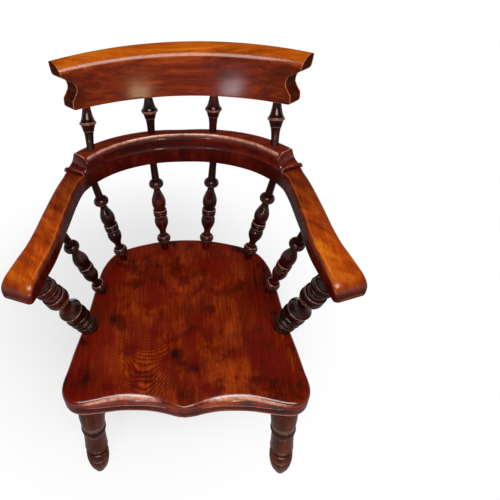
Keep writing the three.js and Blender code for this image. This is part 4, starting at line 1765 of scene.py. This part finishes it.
@dataclass
class Crest(Part):
    """Yoke on the bow, with a roll at the front and a cove with a lip at each end.

    Attributes:
        sweep: length of an end, along the bow.
        side_rows, top_cols: number of points up a side, and over the top or along the foot.
        middle_shares, tip_shares: section in the middle and at the tips, as shares of half
            the arm's width and of the height.
        cove_shares: height of the cove, along the end.
        foot_rows: points above the arm at which nothing is rubbed.
        lip_reach: where the lip begins and is full, as shares of the end.
        roll_up, roll_spread, roll_wear_and_sheen: upward part of the normal at which the painted
        highlight on the roll is strongest, how far round that it reaches, and its relief there.
        light: upward parts of the normal between which painted light replaces painted shade.
    """

    sweep: float = 29.0
    steps: int = 110
    end_steps: int = 45
    side_rows: int = 24
    top_cols: int = 12
    foot_rows: int = 3
    lip_reach: tuple[float, float] = (0.72, 0.84)
    roll_up: float = 0.66
    roll_spread: float = 0.27
    roll_wear_and_sheen: float = 0.78
    light: tuple[float, float] = (0.8, 0.98)
    lip_out: float = 2.5
    middle_shares: Table = (
        (-1, 0), (-0.94, 0.09), (-0.9, 0.19), (-0.87, 0.3), (-0.85, 0.42), (-0.83, 0.53),
        (-0.79, 0.63), (-0.73, 0.73), (-0.66, 0.82), (-0.57, 0.91), (-0.42, 0.975), (-0.22, 1),
        (-0.02, 0.97), (0.1, 0.88), (0.22, 0.55), (0.5, 0.25), (0.92, 0.1), (1, 0),
    )
    tip_shares: Table = (
        (-1, 0), (-0.96, 0.09), (-0.93, 0.19), (-0.91, 0.31), (-0.9, 0.45), (-0.89, 0.58),
        (-0.85, 0.68), (-0.78, 0.78), (-0.68, 0.88), (-0.55, 0.95), (-0.38, 0.99), (-0.1, 1),
        (0.35, 1), (0.66, 0.98), (0.86, 0.9), (0.96, 0.72), (1, 0.4), (1, 0),
    )
    cove_shares: Table = (
        (0, 1), (0.17, 1), (0.185, 0.985), (0.22, 0.86), (0.27, 0.7), (0.34, 0.53), (0.43, 0.38),
        (0.54, 0.27), (0.66, 0.2), (0.74, 0.17), (0.775, 0.17), (0.8, 0.24), (0.85, 0.29),
        (0.93, 0.29), (0.98, 0.25), (1, 0.2),
    )

    def section(self, blend: float, count: int) -> np.ndarray:
        """Section as shares of half the arm's width and of the height, without its foot."""
        rows = mix(np.array(self.middle_shares), np.array(self.tip_shares), blend)
        return Spline(np.vstack([rows[:1], rows, rows[-1:]]), 0.0).at(np.linspace(0, 1, count))

    def loops(self) -> np.ndarray:
        """Lays the sections of the crest along the bow.

        Returns:
            The loops, from the left end to the right one.
        """
        sweep = self.sweep / self.plan.bow().length
        start = self.plan.crest_end - sweep
        even = np.linspace(0, start, self.steps)[:-1]
        swept = start + sweep * np.linspace(0, 1, self.end_steps)
        base = self.plan.arm_height + self.plan.joint
        loops = []
        for share in np.concatenate([-swept[::-1], -even[:0:-1], even, swept]):
            side, way = (-1 if share < 0 else 1), abs(share)
            into = (way - start) / sweep
            high = float(eased(self.cove_shares, max(into, 0.0)))
            lip = self.lip_out * float(fade(*self.lip_reach, into))
            section = self.section(way / self.plan.crest_end, 2 * self.side_rows + self.top_cols)
            outer, inner = fade(0.6, 1.0, section[:, 0]), fade(-0.6, -1.0, section[:, 0])
            across = section[:, 0] * self.plan.arm_width / 2 + lip * outer - 0.4 * lip * inner
            height = base + np.maximum(section[:, 1], 0) * high * (self.plan.crest_top - base)
            foot = np.linspace(across[-1], across[0], self.top_cols + 2)[1:-1]
            across = np.concatenate([across, foot])
            height = np.concatenate([height, np.full(len(foot), base)])
            loops.append(self.plan.on_bow(way, across, height, side))
        return np.array(loops)

    def build(self) -> None:
        """Makes the crest."""
        loops = self.loops()
        made = sawn("crest_yoke", self.plan, loops, self.side_rows)
        self._rub_and_paint_light(made, loops.shape[:2])
        # painted light on upward faces and painted shade on the sides
        shade_by_slope(made, *self.light)
        self.shop.show("crest_yoke", made, CREST_WOOD, "crest_wood", "crest")

    def _rub_and_paint_light(self, mesh: bpy.types.Mesh, shape: tuple[int, int]) -> None:
        """Adds a painted highlight along the roll to "relief" and clears the flush foot.

        Args:
            mesh: the crest's mesh.
            shape: number of its loops and of points in each.
        """
        up = upward(mesh)[:shape[0] * shape[1]].reshape(shape)
        # painted highlight along the roll
        rolled = np.exp(-((up - self.roll_up) / self.roll_spread) ** 2) * self.roll_wear_and_sheen
        middle = slice(self.end_steps - 1, 1 - self.end_steps)
        front = slice(self.foot_rows, self.side_rows + 2)
        with reworked(mesh, shape) as (rows, _):
            rows[middle, front] = np.maximum(rows[middle, front], rolled[middle, front])
            rows[:, :self.foot_rows] = 0
            rows[:, -self.top_cols - self.foot_rows:] = 0

    def dress_screws(self) -> None:
        """Gives the CAD screws under the bow their steel."""
        for word in SIDES:
            for place in ("middle", "end"):
                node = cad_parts[f"crest_screw_{place}_{word}"]
                node.data.materials.clear()
                node.data.materials.append(self.shop.material(ScrewSteel()))
                log.info("%s: steel", node.name)


# Comb

@dataclass
class Comb(Part):
    """Curved top rail with eared ends, on four short spindles.

    Attributes:
        gap: height between the crest and the rail.
        radius: of the rail's curve, seen from above.
        lean: how far the top lies behind the bottom.
        setback: how far the bottom of the front lies behind the bow's centre line.
        flare: how much further out the back's ends lie than the front's.
        notch: depth of the notch under the ears.
        roll, roll_power: height of the front's upper roll, and how full it is.
        arris, foot_round: radii of the back's upper edge and of the lower edges.
        roll_rows, plain_rows: number of points up the roll and below it.
        spread: how far the spindles' tops lie outside their feet.
        spindle_shares: places of the spindles along the bow.
        end_stain, face_dimming, face_reach: relief of the sawn ends, and of the face, which grows
        darker towards its ends, and where on the face that begins and is full.
        light, light_shares: upward parts of the normal, and shares of the height, between
        which the top band grows light, partly as lighter wood and partly as painted light.
        notch_shares: outline of the ends, by share of the height.
    """

    gap: float = 79.0
    height: float = 89.0
    thickness: float = 26.0
    width: float = 503.0
    radius: float = 545.0
    lean: float = 32.0
    setback: float = 2.0
    flare: float = 22.0
    notch: float = 29.0
    roll: float = 20.0
    roll_power: float = 1.12
    arris: float = 3.0
    foot_round: float = 1.6
    edge_step: float = 1.5
    steps: int = 96
    roll_rows: int = 10
    plain_rows: int = 40
    spindle_tenon: float = 7.8
    spindle_depth: float = 24.0
    spread: float = 2.0
    spindle_sides: int = 44
    end_stain: float = -0.75
    face_dimming: float = -0.4
    face_reach: tuple[float, float] = (0.4, 1.0)
    light: tuple[float, float] = (0.3, 0.85)
    light_shares: tuple[float, float] = (0.75, 0.85)
    spindle_shares: tuple[tuple[str, float], ...] = (("inner", 0.118), ("outer", 0.361))
    notch_shares: Table = (
        (0, 0.76), (0.06, 0.66), (0.17, 0.66), (0.27, 0.83), (0.4, 1), (0.48, 0.97), (0.57, 0.82),
        (0.64, 0.45), (0.73, 0.14), (0.865, 0.05), (0.91, 0.03), (0.955, 0.02), (0.985, 0), (1, 0),
    )

    def front_at(self, x: Any, share: Any) -> Any:
        """Y of the front face at a place across it and a share of its height."""
        middle = self.plan.bow_back + self.setback + self.lean * share
        return middle - self.radius + np.sqrt(self.radius ** 2 - np.square(x))

    def section(self) -> tuple[np.ndarray, int]:
        """Draws the section of the rail.

        Returns:
            Points of height share and depth share, up the front, over the top, down the
            back and under, and how many go up the front.
        """
        turn = np.linspace(0, math.pi / 2, self.roll_rows + 1)
        roll = 1 - self.roll * (1 - np.sin(turn) ** self.roll_power) / self.height
        plain = np.linspace(self.foot_round / self.height, roll[0], self.plain_rows)
        small = np.linspace(0, math.pi / 2, 4)
        foot = self.foot_round * (1 - np.cos(small)) / self.height
        rows = np.concatenate([foot, plain[1:], roll[1:]])
        front = np.zeros(len(rows))
        front[-self.roll_rows:] = self.roll * (1 - np.cos(turn[1:]) ** self.roll_power)
        front += sag(self.foot_round, self.foot_round - rows * self.height)
        back = self.thickness - sag(self.arris, self.arris - (1 - rows) * self.height)
        back -= sag(self.foot_round, self.foot_round - rows * self.height)
        over = np.linspace(front[-1], back[-1], 9)[1:-1]
        under = np.linspace(back[0], front[0], 9)[1:-1]
        shares = np.concatenate([rows, np.ones(len(over)), rows[::-1], np.zeros(len(under))])
        deep = np.concatenate([front, over, back[::-1], under]) / self.thickness
        return np.stack([shares, deep], -1), len(rows)

    def build(self) -> None:
        """Makes the rail and its spindles."""
        section, rows = self.section()
        share, deep = section.T
        inset = self.flare * (1 - deep) + self.notch * eased(self.notch_shares, share)
        bottom = self.plan.crest_top + self.gap
        half = self.width / 2 - inset
        edge = self.edge_step / self.width
        between = np.linspace(-1 + 3 * edge, 1 - 3 * edge, self.steps)
        stations = np.concatenate([[-1, -1 + edge], between, [1 - edge, 1]])
        loops = []
        for station in stations:
            x = station * half
            y = self.front_at(x, share) + deep * self.thickness
            loops.append(np.stack([x, y, bottom + share * self.height], -1))
        loops = np.array(loops)
        made = sawn("comb_rail_sawn", self.plan, loops, rows)
        with reworked(made, loops.shape[:2]) as (relief, ends):
            ends[:] = self.end_stain
            face = relief[:, :rows - self.roll_rows]
            # the face grows darker towards its ends
            dim = self.face_dimming * fade(*self.face_reach, np.abs(stations))[:, None]
            face[:] = np.where(face > HALF, face, dim)
        # lighter top band, partly lighter wood and partly painted light on upward faces; painted
        # shade below
        height = np.array([vertex.co.z for vertex in made.vertices]) / MM - bottom
        shade_by_slope(made, *self.light, fade(*self.light_shares, height / self.height))
        self.shop.show("comb_rail_sawn", made, COMB_WOOD, "comb_wood", "comb_rail")
        self._spindles(bottom)

    def _spindles(self, bottom: float) -> None:
        """Makes the four short spindles under the rail.

        Args:
            bottom: height of the rail's underside.
        """
        kind = Turning(UPPER_SPINDLE, self.spindle_tenon, self.spindle_sides, TURNED_WOOD)
        plan = self.plan
        for word, side in SIDES.items():
            for place, share in self.spindle_shares:
                top_share = mix(plan.crest_top_middle, plan.crest_top_end, share / plan.crest_end)
                base = plan.on_bow(share, top_share * plan.arm_width / 2, plan.crest_top, side)[0]
                x = base[0] + side * self.spread
                y = float(self.front_at(x, 0.0)) + self.thickness / 2
                ends = (base, np.array([x, y, bottom]))
                name = f"upper_spindle_{place}_{word}"
                depths = (self.spindle_depth, self.spindle_depth)
                kind.make(self.shop, plan, name, ends, depths)


# Studio

@dataclass
class Lamp:
    """A soft rectangular studio lamp that looks at a point."""

    name: str
    place: tuple[float, float, float]
    size: tuple[float, float]
    power: float
    aim: tuple[float, float, float]
    colour: tuple[float, float, float] = (1.0, 1.0, 1.0)

    def build(self) -> None:
        """Hangs the lamp."""
        data = bpy.data.lights.new(self.name, "AREA")
        data.shape = "RECTANGLE"
        data.size, data.size_y = self.size
        data.energy, data.color = self.power, self.colour
        lamp = bpy.data.objects.new(self.name, data)
        bpy.context.scene.collection.objects.link(lamp)
        lamp.location = self.place
        lamp.visible_camera = False
        lamp.rotation_mode = "QUATERNION"
        way = Vector(self.aim) - Vector(self.place)
        lamp.rotation_quaternion = way.to_track_quat("-Z", "Y")


@dataclass
class Studio:
    """Pale floor, soft lamps, even world light and the photograph's camera.

    Attributes:
        floor_size, floor_level: side and height of the floor.
        floor_colour, floor_tint: its colour, and that of its faint clouds.
        shadow_share: how much of the shadows the floor shows.
        shadow_reach, shadow_place: how far, and round where, it shows them.
        ambient: strength of the world's light.
        ceiling: strength of what the polish reflects from above.
        backdrop_edge: upward parts of a ray between which the white backdrop ends.
        camera_place, yaw, pitch, roll: of the camera, with angles in degrees.
    """

    floor_size: float = 60.0
    floor_level: float = -0.0005
    floor_colour: Rgb = (238, 238, 238)
    floor_tint: Rgb = (226, 228, 230)
    shadow_share: float = 0.38
    shadow_reach: tuple[float, float] = (0.2, 0.7)
    shadow_place: tuple[float, float, float] = (-0.17, 0.3, 0.0)
    ambient: float = 0.2
    ceiling: float = 0.05
    backdrop_edge: tuple[float, float] = (0.4, 0.15)
    camera_place: tuple[float, float, float] = (0.0292, -0.7247, 1.4202)
    yaw: float = -4.544
    pitch: float = 45.791
    roll: float = -4.066
    lens: float = 38.88
    sensor: float = 36.0
    shift: tuple[float, float] = (0.1654, -0.0562)
    lamps: tuple[Lamp, ...] = (
        Lamp("key", (0.05, -1.14, 2.4), (1.5, 0.7), 46.0, (0.0, 0.1, 0.65)),
        Lamp("warm", (0.26, -1.7, 1.065), (0.14, 0.04), 2.3, (-0.085, 0.21, 0.84),
             (1.0, 0.68, 0.34)),
        Lamp("cool", (-0.45, -1.7, 1.065), (0.14, 0.04), 2.0, (0.11, 0.21, 0.84),
             (0.8, 0.86, 1.0)),
    )

    def build(self) -> None:
        """Sets the whole studio."""
        self._floor()
        self._world()
        for lamp in self.lamps:
            lamp.build()
        self._camera()
        bpy.context.scene.view_settings.view_transform = "Standard"

    def _pale_rays(self, graph: Graph) -> Wire:
        """Picks out the rays that show the background.

        Args:
            graph: the graph that asks.

        Returns:
            1 for the camera's rays, reflected ones and those through glass.
        """
        rays = graph.add("ShaderNodeLightPath").socket.node.outputs
        seen, glossy, through = (Wire(graph, rays[name]) for name in (
            "Is Camera Ray", "Is Glossy Ray", "Is Transmission Ray"))
        return seen + glossy + through

    def _floor(self) -> None:
        """Lays the floor, whose far part is plain white and whose near part takes shadows."""
        half = self.floor_size / 2
        corners = [(-half, -half), (half, -half), (half, half), (-half, half)]
        mesh = bpy.data.meshes.new("floor")
        mesh.from_pydata([(x, y, self.floor_level) for x, y in corners], [], [(0, 1, 2, 3)])
        made, graph = new_material("floor_pale")
        place = graph.add("ShaderNodeTexCoord", None, None, "Object")
        shown = 1.0 - graph.distance(place, self.shadow_place).step(*self.shadow_reach)
        tint = graph.noise(place, 6.0, 2.0) * 0.02
        colour = graph.blend(tint, linear(self.floor_colour), linear(self.floor_tint))
        matt = graph.add("ShaderNodeBsdfDiffuse", None, {"Color": colour})
        white = graph.add("ShaderNodeEmission", None, {"Color": (1, 1, 1, 1), "Strength": 1.0})
        share = self._pale_rays(graph) * (1.0 - shown * self.shadow_share)
        both = graph.add("ShaderNodeMixShader", None, {0: share, 1: matt, 2: white})
        graph.add("ShaderNodeOutputMaterial", None, {"Surface": both})
        mesh.materials.append(made)
        floor = bpy.data.objects.new("floor", mesh)
        bpy.context.scene.collection.objects.link(floor)

    def _world(self) -> None:
        """Lights the chair evenly, with a white backdrop round it and a dark ceiling."""
        world = bpy.data.worlds.new("studio")
        world.use_nodes = True
        bpy.context.scene.world = world
        graph = Graph(world.node_tree)
        way = graph.add("ShaderNodeTexCoord", None, None, "Generated")
        _, _, up = graph.axes(way)
        rays = graph.add("ShaderNodeLightPath").socket.node.outputs
        backdrop = up.step(*self.backdrop_edge).larger(Wire(graph, rays["Is Camera Ray"]))
        even, dark, white = (
            graph.add("ShaderNodeBackground", None, {0: (1, 1, 1, 1), 1: strength})
            for strength in (self.ambient, self.ceiling, 1.0))
        shown = graph.add("ShaderNodeMixShader", None, {0: backdrop, 1: dark, 2: white})
        pale = self._pale_rays(graph)
        both = graph.add("ShaderNodeMixShader", None, {0: pale, 1: even, 2: shown})
        graph.add("ShaderNodeOutputWorld", None, {"Surface": both})

    def _camera(self) -> None:
        """Sets the camera at the photograph's angle."""
        yaw, pitch, roll = (math.radians(a) for a in (self.yaw, self.pitch, self.roll))
        ahead = Vector((math.sin(yaw) * math.cos(pitch), math.cos(yaw) * math.cos(pitch),
                        -math.sin(pitch)))
        right = ahead.cross(Vector((0, 0, 1))).normalized()
        up = right.cross(ahead)
        level = right * math.cos(roll) + up * math.sin(roll)
        upright = up * math.cos(roll) - right * math.sin(roll)
        data = bpy.data.cameras.new("camera")
        data.lens, data.sensor_width = self.lens, self.sensor
        data.shift_x, data.shift_y = self.shift
        camera = bpy.data.objects.new("camera", data)
        bpy.context.scene.collection.objects.link(camera)
        turn = Matrix((level, upright, -ahead)).transposed().to_4x4()
        camera.matrix_world = Matrix.Translation(self.camera_place) @ turn
        bpy.context.scene.camera = camera


def main() -> None:
    """Builds the chair and its studio, in order."""
    logging.basicConfig(level=logging.INFO, format="%(name)s %(message)s")
    plan = Plan(front=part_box("seat")[0].y / MM)
    shop = Workshop()
    for kind in (Seat, Legs, Stays, Arms, Crest, Comb):
        log.info("building %s", kind.__name__)
        kind(shop, plan).build()
    Crest(shop, plan).dress_screws()
    Studio().build()


if __name__ == "__main__":
    main()
